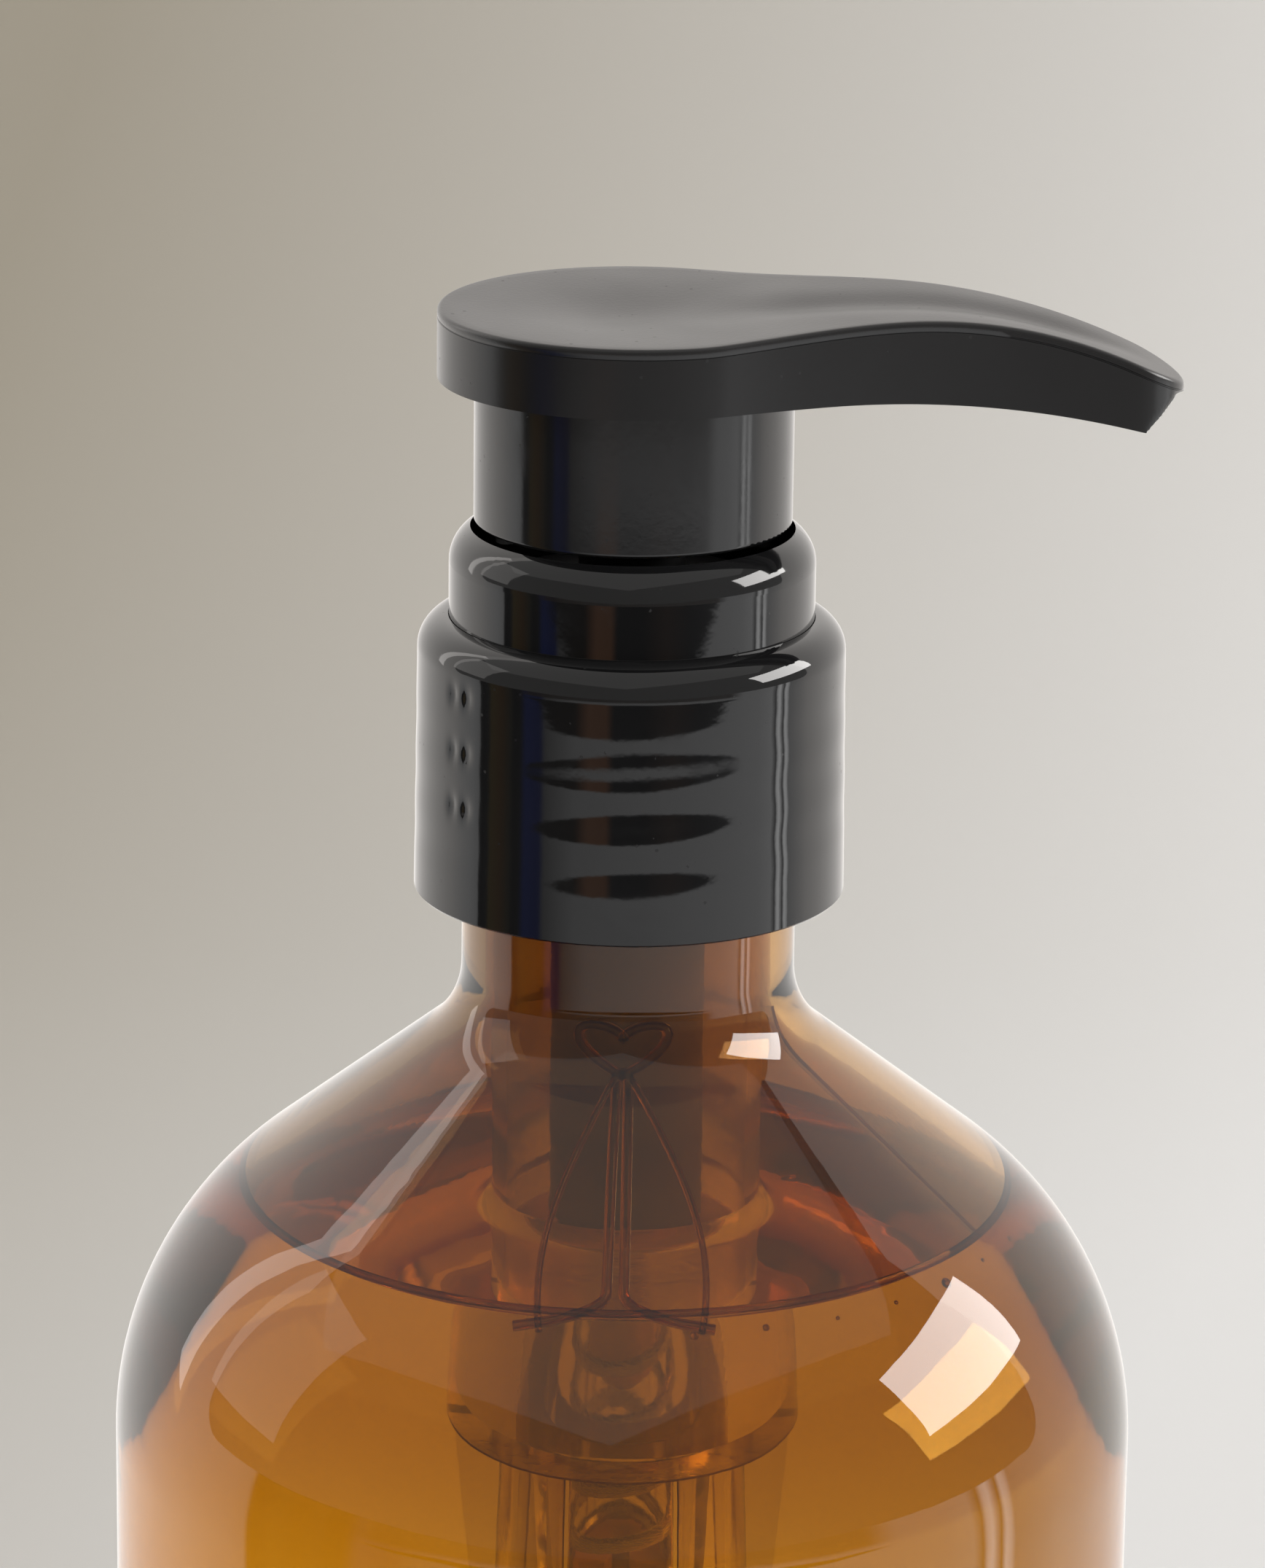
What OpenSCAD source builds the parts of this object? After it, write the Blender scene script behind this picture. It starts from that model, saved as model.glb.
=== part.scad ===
// Soap pump dispenser: a round clear-walled bottle closed by a screw-on lotion pump.
// Millimetres, +Z up. The origin is on the bottle's axis, on the surface it stands on,
// and the spout points along +X. The pump is drawn up, ready to be pressed.

/* [Bottle] */
// Height of the bottle from its foot to its mouth
bottle_h = 158.6; // [145:0.2:200]
// Outer radius of the body
body_r = 39; // [35:0.5:50]
// Thickness of the body wall
wall = 0.8; // [0.6:0.1:1.4]
// Thickness of the wall at the top of the shoulder
shoulder_wall = 1.9; // [1.4:0.1:2.4]
// Thickness of the floor
floor_t = 1.2; // [0.8:0.1:2.5]
// Radius of the arc that rounds the shoulder
shoulder_r = 26.86; // [20:0.02:30]
// Slope of the shoulder below the horizontal, in degrees
shoulder_slope = 38.1; // [30:0.1:45]
// Radius of the heel
heel_r = 8; // [5:0.5:12]
// Inner radius of the foot, where the bottom starts to push up
foot_r = 25; // [15:0.5:27]
// Height of the push-up at the middle of the bottom
punt_h = 4; // [2:0.25:6]

/* [Neck] */
// Outer radius of the neck below the thread
neck_r = 12.57; // [11.5:0.01:15.5]
// Wall thickness of the neck
neck_wall = 1.77; // [1.5:0.01:2.2]
// Height of the straight neck
neck_h = 22.32; // [20:0.02:28]
// Radius that blends the neck into the shoulder
neck_fillet = 7.24; // [4:0.02:9]
// Pitch of the screw thread
thread_pitch = 4.233; // [3:0.001:5]
// Height of the thread above the neck's wall
thread_depth = 1.13; // [0.8:0.01:1.3]
// Turns of thread on the neck
neck_turns = 1.5; // [1:0.25:2]
// Turns of thread inside the closure
cap_turns = 1.25; // [1:0.25:1.5]

/* [Closure and collar] */
// Wall thickness of the closure at its lower edge
cap_wall = 2.2; // [1.8:0.1:4]
// How much narrower the closure is at its top
cap_taper = 0.2; // [0:0.05:0.5]
// Height of the closure
cap_h = 21.02; // [19:0.02:26]
// Radius of the closure's top edge
cap_edge_r = 2.5; // [1:0.1:3]
// Height of the bottle's mouth below the closure's top
cap_over_mouth = 4.69; // [4.4:0.01:6]
// Wall thickness of the collar
collar_t = 1.56; // [1.3:0.02:2]
// Radius of the collar's top edge
collar_edge_r = 3; // [1:0.1:4]

/* [Head and sleeve] */
// Wall thickness of the sleeve
sleeve_t = 1.15; // [0.8:0.05:1.5]
// Radius of the sleeve's lower edge
sleeve_edge_r = 0.35; // [0.1:0.05:0.5]
// Gap between the sleeve and the collar's rim while the pump is up
sleeve_gap = 0.42; // [0.2:0.01:2]
// Length of sleeve that shows between head and collar while the pump is down
sleeve_rest = 1.98; // [1:0.02:6]
// How far the head's round part stands out from the sleeve
head_overhang = 2.75; // [1.5:0.05:6]
// Height of the head's side wall
head_h = 5.2; // [4.8:0.1:8]
// Reach of the spout from the pump's axis
spout_reach = 40.5; // [34:0.5:60]
// Radius of the spout's tip
tip_r = 4.1; // [3.6:0.1:6]
// Radius of the curve that blends the head into the spout
blend_r = 80; // [50:1:120]
// Rise of the spout's back above the head's rim
hump_h = 0.7; // [0:0.1:1.5]
// Distance of the hump from the axis
hump_x = 19.5; // [15:0.5:25]
// Radius of the spout's back, seen from the side
hump_r = 42; // [36:1:60]
// Distance from the axis at which the spout's lower edge starts to fall
belly_x = 14; // [10:0.5:18]
// Radius of the spout's lower edge, seen from the side
belly_r = 95; // [60:1:120]
// Depth of the finger dish in the head's top
dish_h = 0.5; // [0.2:0.1:0.8]
// Wall thickness of the head
head_wall = 1.5; // [1:0.1:1.6]

/* [Pump] */
// Travel of the head when it is pressed
stroke = 9; // [5:0.5:9]
// Gap between the housing and the bore of the neck
housing_gap = 0.6; // [0.3:0.05:0.8]
// Wall thickness of the housing
housing_t = 1.1; // [0.8:0.05:1.4]
// Outer radius of the stem
stem_r = 4; // [3.6:0.05:4.8]
// Radius of the channel in the stem
channel_r = 2.2; // [1.6:0.05:2.5]
// Wall thickness of the guide tube round the stem
guide_t = 1.8; // [1.4:0.05:2.2]
// Depth of the guide tube's tip below the mouth
guide_depth = 42.6; // [36:0.1:52]
// Distance the rod moves before the piston follows
lost_motion = 1; // [0.5:0.1:1.5]
// Outer radius of the inlet ball
ball_r = 2.4; // [2:0.05:2.6]
// Distance the inlet ball lifts
ball_lift = 1.5; // [0.8:0.1:2]
// Outer radius of the dip tube
dip_r = 3.1; // [2.6:0.05:3.6]
// Wall thickness of the dip tube
dip_t = 0.8; // [0.5:0.05:1]
// Height of the dip tube's tip above the bottle's floor
dip_gap = 2; // [1:0.5:10]
// Radius of the spring's wire
wire_r = 0.4; // [0.3:0.05:0.45]
// Turns of the spring
spring_turns = 7.5; // [6:0.5:9]

/* [Hidden] */
$fn = 96;

// Clearances: of a running fit, of a seat that is pressed home, and between faces that pass
running = 0.05;
pressed = 0.01;
face_gap = 0.1;
past = 1;              // how far a cutting shape runs past the wall that it cuts
collar_play = 0.25;    // radial gap between the sleeve and the collar
sleeve_play = 0.5;     // radial gap between the sleeve and the housing
flange_play = 0.5;     // radial gap between the flange and the closure
beam = 90;             // length of the lines that bound a sector

// Heights and radii on the bottle
mouth_z = bottle_h;
neck_foot_z = mouth_z - neck_h;
shoulder_x = body_r - shoulder_r;
shoulder_z = neck_foot_z - (sin(shoulder_slope) * (shoulder_x - neck_r - neck_fillet)
    + shoulder_r + neck_fillet) / cos(shoulder_slope);
shoulder_in_r = shoulder_r
    - (shoulder_wall - wall * sin(shoulder_slope)) / (1 - sin(shoulder_slope));
bore_r = neck_r - neck_wall;
punt_r = (foot_r * foot_r + punt_h * punt_h) / (2 * punt_h);

// Thread: half widths at its root and crest, and how far its root sinks into the wall
root_half = 1.1;
crest_half = 0.45;
thread_sink = 0.5;
thread_steps = 24;     // flats in one turn
thread_run_out = 40;   // degrees over which an end fades
thread_play = 0.3;     // radial play between the two threads' crests and walls
neck_thread_z = mouth_z - 9;
cap_thread_z = neck_thread_z - root_half - crest_half;

// Radii that fit in one another, from the bore of the neck outwards
housing_r = bore_r - housing_gap;
sleeve_r = housing_r + sleeve_play + sleeve_t;
head_r = sleeve_r + head_overhang;
collar_bore_r = sleeve_r + collar_play;
collar_r = collar_bore_r + collar_t;
skirt_r = collar_bore_r + 0.7;
flange_r = skirt_r + 0.7;
cap_bore_r = max(neck_r + thread_depth + thread_play, flange_r + flange_play);
cap_r = cap_bore_r + cap_wall;

// The stack that the closure clamps on the mouth
gasket_t = 1;
flange_t = 1.2;
flange_z = mouth_z + gasket_t;
flange_top = flange_z + flange_t;
lip_t = 1.2;
lip_top = flange_top + lip_t;
cap_top = mouth_z + cap_over_mouth;
cap_foot = cap_top - cap_h;

// Collar: it is as deep as the stroke, and its skirt reaches through the closure's lip
collar_top = flange_top + 2 * face_gap + stroke;
collar_edge_z = collar_top - sqrt(pow(collar_edge_r, 2)
    - pow(max(0, collar_bore_r - collar_r + collar_edge_r), 2));
groove_h = 0.6;

// Sleeve and head
sleeve_z = collar_top + sleeve_gap;
head_z = sleeve_z + stroke + sleeve_rest;
head_top = head_z + head_h;
ceiling_z = head_top - dish_h - 1.3;
dish_sphere_r = (pow(head_r - 2.4, 2) + dish_h * dish_h) / (2 * dish_h);
tip_x = spout_reach - tip_r;
blend_x = (tip_x * tip_x + pow(blend_r + head_r, 2) - pow(blend_r + tip_r, 2)) / (2 * tip_x);
blend_y = sqrt(pow(blend_r + head_r, 2) - blend_x * blend_x);
tip_top = head_top + hump_h - hump_r + sqrt(hump_r * hump_r - pow(spout_reach - hump_x, 2));
end_lean = 42;         // lean of the spout's end face under its lip, in degrees

// Guide and stem
guide_r = stem_r + guide_t;
guide_rise = 4.8;
guide_top = flange_top + guide_rise;
guide_plate_t = 1.2;
guide_tip = mouth_z - guide_depth;
guide_land = 5;        // length of the running fit at each end of the guide
boss_r = stem_r + 1.6;
boss_z = guide_top + stroke + 0.4;
stem_top = head_z - 0.4;
stop_r = guide_r - 0.6;
stop_t = 1;
stem_foot = guide_tip - face_gap - stop_t;

// Piston and valve rod
chamber_r = housing_r - housing_t;
hub_top = stem_foot - lost_motion - face_gap;
hub_h = 5.2;
hub_z = hub_top - hub_h;
hub_r = 4.6;
hub_bore_r = 2.9;
seat_h = 1;            // height of the cone where rod and piston seal
skirt_z = hub_z - 0.4;
skirt_top = hub_top + 1;
skirt_t = 0.7;
lip_h = 2;
web_t = 1.4;
rod_flange_r = 5;
rod_flange_t = 1.1;
rod_flange_z = hub_z - face_gap - rod_flange_t;
rod_pin_r = 3;
rod_rib_t = 1.2;
rod_top = stem_foot + 15;

// Housing below the chamber
chamber_floor = skirt_z - stroke - 2 * face_gap;
chamber_z = chamber_floor - housing_t;
barrel_r = 7;
barrel_bore_r = 5.8;
barrel_h = 15.9;
barrel_floor = chamber_z - barrel_h;
seat_t = 1.5;
seat_r = ball_r - 0.5;
socket_z = barrel_floor - seat_t;
socket_h = 9;
socket_r = dip_r + 1.2;
fin_count = 6;
fin_t = 1;
vent_r = 0.6;
vent_z = hub_top - 2;

// Ball cage and spring
ball_z = barrel_floor + sqrt(ball_r * ball_r - seat_r * seat_r) + 0.02;
cage_bore_r = ball_r + 0.35;
cage_plate_t = 1;
cage_top = ball_z + ball_r + ball_lift + 0.2 + cage_plate_t;
cage_hole_r = 1.5;
cage_slot_w = 1.6;
coil_r = rod_flange_r - wire_r - 0.3;
spring_steps = 20;     // lengths of wire in one turn
wire_sides = 8;
spring_z = cage_top;
spring_h = rod_flange_z - cage_top;

// Spout tube: it leaves the boss, falls along the spout and turns out of the end face
tube_r = 1.4;
tube_bore_r = 0.8;
tube_start = [channel_r + 0.4, ceiling_z - tube_r - 0.5];
tube_elbow = [tip_x - 0.8, tip_top - tube_r + 0.3];
nozzle_l = 3.2;
nozzle_lean = 20;       // fall of the nozzle below level, in degrees

// Dip tube
dip_top = socket_z;
dip_z = punt_h + floor_t + dip_gap;
dip_cut = 35;          // slant of the dip tube's cut end, in degrees

// ---------- Outline pieces: arcs stay true arcs ----------

// A pie slice of a disc, from angle a0 to a1
module sector(c, r, a0, a1) {
    mid = (a0 + a1) / 2;
    intersection() {
        translate(c) circle(r);
        polygon([c, for (a = [a0, mid, a1]) c + beam * [cos(a), sin(a)]]);
    }
}

// Height of the blend between neck and shoulder, for a wall of these radii
function cove_z(rb, rs, rn, rf) = shoulder_z
    + (sin(shoulder_slope) * (rb - rs - rn - rf) + rs + rf) / cos(shoulder_slope);

// Half section of the bottle, filled to the axis
module vessel(rb, rs, rn, rf, rh, z0, z1) {
    out = 90 - shoulder_slope;
    hub = [rb - rs, shoulder_z];
    cove = [rn + rf, cove_z(rb, rs, rn, rf)];
    crown = hub + rs * [cos(out), sin(out)];
    root = cove - rf * [cos(out), sin(out)];
    translate([0, z0]) square([rb - rh, rh]);
    sector([rb - rh, z0 + rh], rh, 270, 360);
    translate([0, z0 + rh]) square([rb, shoulder_z - z0 - rh]);
    sector(hub, rs, 0, out);
    overlap = hub + rs / 2 * [cos(out / 2), sin(out / 2)];
    polygon([[0, hub[1]], hub, overlap, crown, root, [0, root[1]]]);
    difference() {
        polygon([[0, root[1]], root, cove, [0, cove[1]]]);
        translate(cove) circle(rf);
    }
    translate([0, cove[1]]) square([rn, z1 - cove[1]]);
}

// Ring with an inner and an outer radius, between two heights
module ring(r_in, r_out, z0, z1) {
    translate([0, 0, z0]) difference() {
        cylinder(r = r_out, h = z1 - z0);
        translate([0, 0, -past]) cylinder(r = r_in, h = z1 - z0 + 2 * past);
    }
}

// ---------- Swept shapes ----------

// Closed skin over a list of rings that all have the same number of points
module skin(rings) {
    n = len(rings);
    k = len(rings[0]);
    points = [for (r = rings) for (p = r) p];
    sides = [for (i = [0 : n - 2]) for (j = [0 : k - 1])
        [i * k + j, (i + 1) * k + j, (i + 1) * k + (j + 1) % k, i * k + (j + 1) % k]];
    first = [for (j = [0 : k - 1]) j];
    last = [for (j = [k - 1 : -1 : 0]) (n - 1) * k + j];
    polyhedron(points = points, faces = concat(sides, [first, last]), convexity = 8);
}

// Share of full height at angle a of a thread that runs to angle end
function fade(a, end) = max(0.02, min(1, a / thread_run_out, (end - a) / thread_run_out));

// Ridge on a wall: it stands from root to crest, and side is 1 outwards or -1 inwards
module thread(wall_r, side, z0, turns) {
    end = turns * 360;
    root = wall_r - side * thread_sink;
    skin([for (i = [0 : turns * thread_steps])
        let (a = i * 360 / thread_steps,
             crest = root + side * (thread_sink + thread_depth) * fade(a, end),
             z = z0 + thread_pitch * a / 360)
        [for (p = [[root, side * root_half], [crest, side * crest_half],
                   [crest, -side * crest_half], [root, -side * root_half]])
            [p[0] * cos(a), p[0] * sin(a), z + p[1]]]]);
}

// Height of the spring's wire after t turns: the first and last turn lie closed
function wire_z(t) = let (closed = min(t, 1) + max(0, t - spring_turns + 1),
                          open = (spring_h - 2 * wire_r * 3) / (spring_turns - 2))
    2 * wire_r * closed + open * max(0, min(t, spring_turns - 1) - 1);

// ---------- Bottle and closure ----------

module bottle() {
    color("#8a4b12", 0.6) {
        rotate_extrude() difference() {
            vessel(body_r, shoulder_r, neck_r, neck_fillet, heel_r, 0, mouth_z);
            translate([0, punt_h - punt_r]) circle(punt_r);
            difference() {
                vessel(body_r - wall, shoulder_in_r, bore_r, neck_fillet, heel_r - wall,
                       floor_t, mouth_z + past);
                translate([0, punt_h - punt_r]) circle(punt_r + floor_t);
            }
        }
        thread(neck_r, 1, neck_thread_z, neck_turns);
    }
}

module closure_cap() {
    top_r = cap_r - cap_taper;
    edge_z = cap_top - cap_edge_r;
    color("#151515") {
        rotate_extrude() difference() {
            union() {
                polygon([[0, cap_foot], [cap_r, cap_foot], [top_r, edge_z], [0, edge_z]]);
                sector([top_r - cap_edge_r, edge_z], cap_edge_r, 0, 90);
                translate([0, edge_z]) square([top_r - cap_edge_r, cap_edge_r]);
            }
            translate([0, cap_foot - past]) square([cap_bore_r, flange_top - cap_foot + past]);
            translate([0, flange_top - past]) square([skirt_r + running, lip_t + 2 * past]);
            translate([0, lip_top]) square([collar_r + running, past + cap_over_mouth]);
        }
        thread(cap_bore_r, -1, cap_thread_z, cap_turns);
    }
}

module neck_gasket() {
    color("#d8d4c8") ring(bore_r, neck_r + 0.6, mouth_z, flange_z);
}

// ---------- Pump body ----------

module pump_housing() {
    color("#e6e2d6") difference() {
        union() {
            rotate_extrude() difference() {
                union() {
                    translate([0, flange_z]) square([flange_r, flange_t]);
                    translate([0, chamber_z])
                        square([housing_r, guide_top - guide_plate_t - chamber_z]);
                    translate([0, socket_z]) square([barrel_r, chamber_z - socket_z]);
                    translate([0, socket_z - socket_h]) square([socket_r, socket_h]);
                }
                translate([0, chamber_floor]) square([chamber_r, guide_top - chamber_floor]);
                translate([0, barrel_floor])
                    square([barrel_bore_r, chamber_floor - barrel_floor + past]);
                translate([0, socket_z - past]) square([seat_r, seat_t + 2 * past]);
                translate([0, socket_z - socket_h - past])
                    square([dip_r + pressed, socket_h + past]);
                translate([collar_bore_r, flange_top - groove_h])
                    square([skirt_r - collar_bore_r, groove_h + past]);
            }
            for (i = [0 : fin_count - 1]) rotate([90, 0, i * 360 / fin_count])
                linear_extrude(height = fin_t, center = true)
                    polygon([[barrel_bore_r + 0.6, chamber_z], [housing_r - 0.4, chamber_z],
                             [barrel_r + 0.1, socket_z + 1], [barrel_bore_r + 0.6, socket_z + 1]]);
        }
        translate([0, 0, vent_z]) rotate([-90, 0, 0]) cylinder(r = vent_r, h = housing_r + past);
    }
}

module lock_collar() {
    base_z = lip_top + face_gap;
    color("#181818") rotate_extrude() difference() {
        union() {
            translate([0, base_z]) square([collar_r, collar_edge_z - base_z]);
            sector([collar_r - collar_edge_r, collar_edge_z], collar_edge_r, 0, 90);
            translate([0, collar_edge_z]) square([collar_r - collar_edge_r, collar_edge_r]);
            translate([0, flange_top - groove_h])
                square([skirt_r, lip_top - flange_top + groove_h + past]);
        }
        translate([0, flange_top - groove_h - past])
            square([collar_bore_r, collar_top - flange_top + groove_h + 2 * past]);
    }
}

module stem_guide() {
    plate_z = guide_top - guide_plate_t;
    relief_r = (stem_r + guide_r) / 2;
    color("#1c1c1c") rotate_extrude() difference() {
        union() {
            translate([0, plate_z]) square([housing_r, guide_plate_t]);
            translate([0, plate_z - 3]) square([chamber_r - pressed, 3]);
            translate([0, guide_tip]) square([guide_r, guide_top - guide_tip]);
        }
        translate([guide_r, plate_z - 3 - past]) square([chamber_r - guide_r - 1, 3 + past]);
        translate([0, guide_tip - past]) square([stem_r + running, guide_top - guide_tip + 2 * past]);
        translate([0, guide_tip + guide_land])
            square([relief_r, guide_top - guide_tip - 2 * guide_land]);
    }
}

module ball_cage() {
    color("#f0eee6") difference() {
        translate([0, 0, barrel_floor])
            cylinder(r = barrel_bore_r - pressed, h = cage_top - barrel_floor);
        translate([0, 0, barrel_floor - past])
            cylinder(r = cage_bore_r, h = cage_top - cage_plate_t - barrel_floor + past);
        translate([0, 0, barrel_floor]) cylinder(r = cage_hole_r, h = cage_top);
        for (a = [0, 90]) rotate([0, 0, a])
            translate([-coil_r + wire_r + 0.2, -cage_slot_w / 2, barrel_floor - past])
                cube([2 * (coil_r - wire_r - 0.2), cage_slot_w, cage_top - barrel_floor + 2 * past]);
    }
}

module dip_tube() {
    color("#ece9df") difference() {
        ring(dip_r - dip_t, dip_r, dip_z, dip_top);
        translate([-dip_r, 0, dip_z]) rotate([0, dip_cut, 0])
            translate([-past - dip_r, -2 * dip_r, -6 * dip_r]) cube([8 * dip_r, 4 * dip_r, 6 * dip_r]);
    }
}

module return_spring() {
    color("#b8bcc0") skin([for (i = [0 : spring_turns * spring_steps])
        let (t = i / spring_steps, a = t * 360, z = spring_z + wire_r + wire_z(t))
        [for (j = [0 : wire_sides - 1]) let (b = -j * 360 / wire_sides, r = coil_r + wire_r * cos(b))
            [r * cos(a), r * sin(a), z + wire_r * sin(b)]]]);
}

module inlet_ball() {
    color("#c4c8cc") translate([0, 0, ball_z]) sphere(r = ball_r);
}

// ---------- Moving pump pieces ----------

module valve_rod() {
    color("#e9e6dc") {
        rotate_extrude() polygon([[0, cage_top + stroke + 1], [rod_pin_r - 0.6, cage_top + stroke + 1],
            [rod_pin_r, cage_top + stroke + 1.6], [rod_pin_r, rod_flange_z],
            [rod_flange_r, rod_flange_z], [rod_flange_r, rod_flange_z + rod_flange_t],
            [hub_bore_r + seat_h - face_gap, rod_flange_z + rod_flange_t],
            [hub_bore_r - 2 * face_gap, hub_z + seat_h - face_gap],
            [0, hub_z + seat_h - face_gap]]);
        intersection() {
            translate([0, 0, hub_z]) cylinder(r = channel_r - running, h = rod_top - hub_z);
            for (a = [0, 90]) rotate([0, 0, a])
                translate([-channel_r, -rod_rib_t / 2, hub_z])
                    cube([2 * channel_r, rod_rib_t, rod_top - hub_z]);
        }
    }
}

module piston() {
    web_z = (hub_z + hub_top - web_t) / 2;
    lip_r = chamber_r - running;
    rim_r = lip_r - 0.5;
    color("#f4f2ea") rotate_extrude() {
        difference() {
            translate([0, hub_z]) square([hub_r, hub_h]);
            polygon([[0, hub_z - past], [hub_bore_r + seat_h + past, hub_z - past],
                     [hub_bore_r, hub_z + seat_h], [hub_bore_r, hub_top + past], [0, hub_top + past]]);
        }
        translate([hub_r - 0.5, web_z]) square([rim_r - hub_r, web_t]);
        polygon([[rim_r - skirt_t, skirt_z + lip_h], [lip_r - skirt_t / 2, skirt_z], [lip_r, skirt_z],
                 [rim_r, skirt_z + lip_h], [rim_r, skirt_top - lip_h], [lip_r, skirt_top],
                 [lip_r - skirt_t / 2, skirt_top], [rim_r - skirt_t, skirt_top - lip_h]]);
    }
}

module pump_stem() {
    color("#1a1a1a") {
        ring(channel_r, stem_r, stem_foot, stem_top);
        ring(channel_r, stop_r, stem_foot, stem_foot + stop_t);
    }
}

// ---------- Head ----------

// Points along an arc, without its first one
function arc(c, r, a0, a1, n) = [for (i = [1 : n])
    c + r * [cos(a0 + (a1 - a0) * i / n), sin(a0 + (a1 - a0) * i / n)]];

// Plan of the head: round part, blended spout and round tip, drawn in by inset
module head_plan(inset) {
    a = atan2(blend_y, blend_x);
    b = atan2(blend_y, blend_x - tip_x);
    polygon(concat(
        arc([0, 0], head_r - inset, a, 360 - a, 60),
        arc([blend_x, -blend_y], blend_r + inset, 180 - a, 180 - b, 12),
        arc([tip_x, 0], tip_r - inset, -b, b, 16),
        arc([blend_x, blend_y], blend_r + inset, 180 + b, 180 + a, 12)));
}

// Side view of the head, its top lowered by drop and its end face drawn in by back
module head_side(drop, back) {
    far = spout_reach + past;
    crest_z = head_top + hump_h;
    difference() {
        union() {
            translate([-head_r - past, head_z - 2 * head_r])
                square([hump_x + head_r, head_h - drop + 2 * head_r]);
            intersection() {
                translate([hump_x, crest_z - hump_r]) circle(hump_r - drop);
                translate([0, head_z - 2 * head_r]) square([far, 4 * head_r]);
            }
        }
        polygon([[spout_reach - back, tip_top], [spout_reach - back + 2 * past, tip_top],
                 [far + past, tip_top + head_h], [far + past, head_z - 3 * head_r],
                 [spout_reach - back - (tip_top - head_z + 3 * head_r) * tan(end_lean),
                  head_z - 3 * head_r]]);
    }
}

// What the head's lower edge leaves open below
module below_edge() {
    translate([-2 * head_r, head_z - 4 * head_r]) square([2 * head_r + belly_x, 4 * head_r]);
    translate([belly_x, head_z - belly_r]) circle(belly_r);
}

module upright(half_w) {
    rotate([90, 0, 0]) linear_extrude(height = 2 * half_w, center = true) children();
}

module along(from, to, r) {
    run = to - from;
    translate([from[0], 0, from[1]]) rotate([0, atan2(run[0], run[1]), 0])
        cylinder(r = r, h = norm(run));
}

nozzle_tip = tube_elbow + nozzle_l * [cos(nozzle_lean), -sin(nozzle_lean)];

module actuator_head() {
    color("#202020") difference() {
        union() {
            difference() {
                intersection() {
                    translate([0, 0, head_z - head_r]) linear_extrude(height = 3 * head_r) head_plan(0);
                    upright(2 * head_r) difference() {
                        head_side(0, 0);
                        below_edge();
                    }
                }
                intersection() {
                    translate([0, 0, head_z - head_r])
                        linear_extrude(height = ceiling_z - head_z + head_r) head_plan(head_wall);
                    upright(2 * head_r) head_side(head_wall, head_wall);
                }
                translate([0, 0, head_top - dish_h + dish_sphere_r]) sphere(r = dish_sphere_r, $fn = 200);
            }
            translate([0, 0, boss_z]) cylinder(r = boss_r, h = ceiling_z - boss_z + 0.2);
        }
        translate([0, 0, boss_z - past]) cylinder(r = stem_r + pressed, h = stem_top - boss_z + past);
        cylinder(r = channel_r, h = ceiling_z - 0.4);
        along(tube_start, tube_elbow, tube_r + pressed);
        along(tube_elbow, nozzle_tip, tube_r + pressed);
    }
}

module actuator_sleeve() {
    slot_w = 2 * (tube_r + face_gap);
    slot_z = tube_elbow[1];
    color("#161616") difference() {
        rotate_extrude() difference() {
            union() {
                translate([0, sleeve_z]) square([sleeve_r - sleeve_edge_r, ceiling_z - sleeve_z]);
                sector([sleeve_r - sleeve_edge_r, sleeve_z + sleeve_edge_r], sleeve_edge_r, 270, 360);
                translate([0, sleeve_z + sleeve_edge_r])
                    square([sleeve_r, ceiling_z - sleeve_z - sleeve_edge_r]);
            }
            translate([0, sleeve_z - past]) square([sleeve_r - sleeve_t, ceiling_z - sleeve_z + 2 * past]);
        }
        translate([0, -slot_w / 2, slot_z]) cube([head_r, slot_w, head_h]);
    }
}

module spout_tube() {
    color("#2a2a2a") difference() {
        union() {
            along(tube_start, tube_elbow, tube_r);
            translate([tube_elbow[0], 0, tube_elbow[1]]) sphere(r = tube_r);
            along(tube_elbow, nozzle_tip, tube_r);
        }
        along(tube_start - [past, 0], tube_elbow, tube_bore_r);
        translate([tube_elbow[0], 0, tube_elbow[1]]) sphere(r = tube_bore_r);
        along(tube_elbow, nozzle_tip + [past, -past], tube_bore_r);
    }
}

bottle();
closure_cap();
neck_gasket();
pump_housing();
lock_collar();
stem_guide();
actuator_head();
actuator_sleeve();
spout_tube();
pump_stem();
valve_rod();
piston();
return_spring();
ball_cage();
inlet_ball();
dip_tube();
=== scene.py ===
"""Soap pump dispenser: builds the bottle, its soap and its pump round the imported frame."""

import math

import bmesh
import bpy
from mathutils import Matrix, Vector


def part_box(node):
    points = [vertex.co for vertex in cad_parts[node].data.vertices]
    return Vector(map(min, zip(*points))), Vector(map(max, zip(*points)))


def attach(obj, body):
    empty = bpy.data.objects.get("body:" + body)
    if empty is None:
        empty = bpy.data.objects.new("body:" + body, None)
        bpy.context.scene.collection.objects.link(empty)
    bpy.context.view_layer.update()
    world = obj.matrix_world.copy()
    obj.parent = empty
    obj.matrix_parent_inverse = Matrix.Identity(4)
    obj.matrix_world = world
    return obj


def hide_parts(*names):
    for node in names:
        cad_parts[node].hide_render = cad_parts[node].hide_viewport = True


bl_info = {
    "name": "Soap Pump Dispenser",
    "version": (1, 0, 0),
    "blender": (4, 5, 0),
    "location": "View3D > Sidebar > Dispenser",
    "description": "Builds a clear bottle of liquid soap with a screw-on lotion pump",
    "category": "Object",
}

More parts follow.
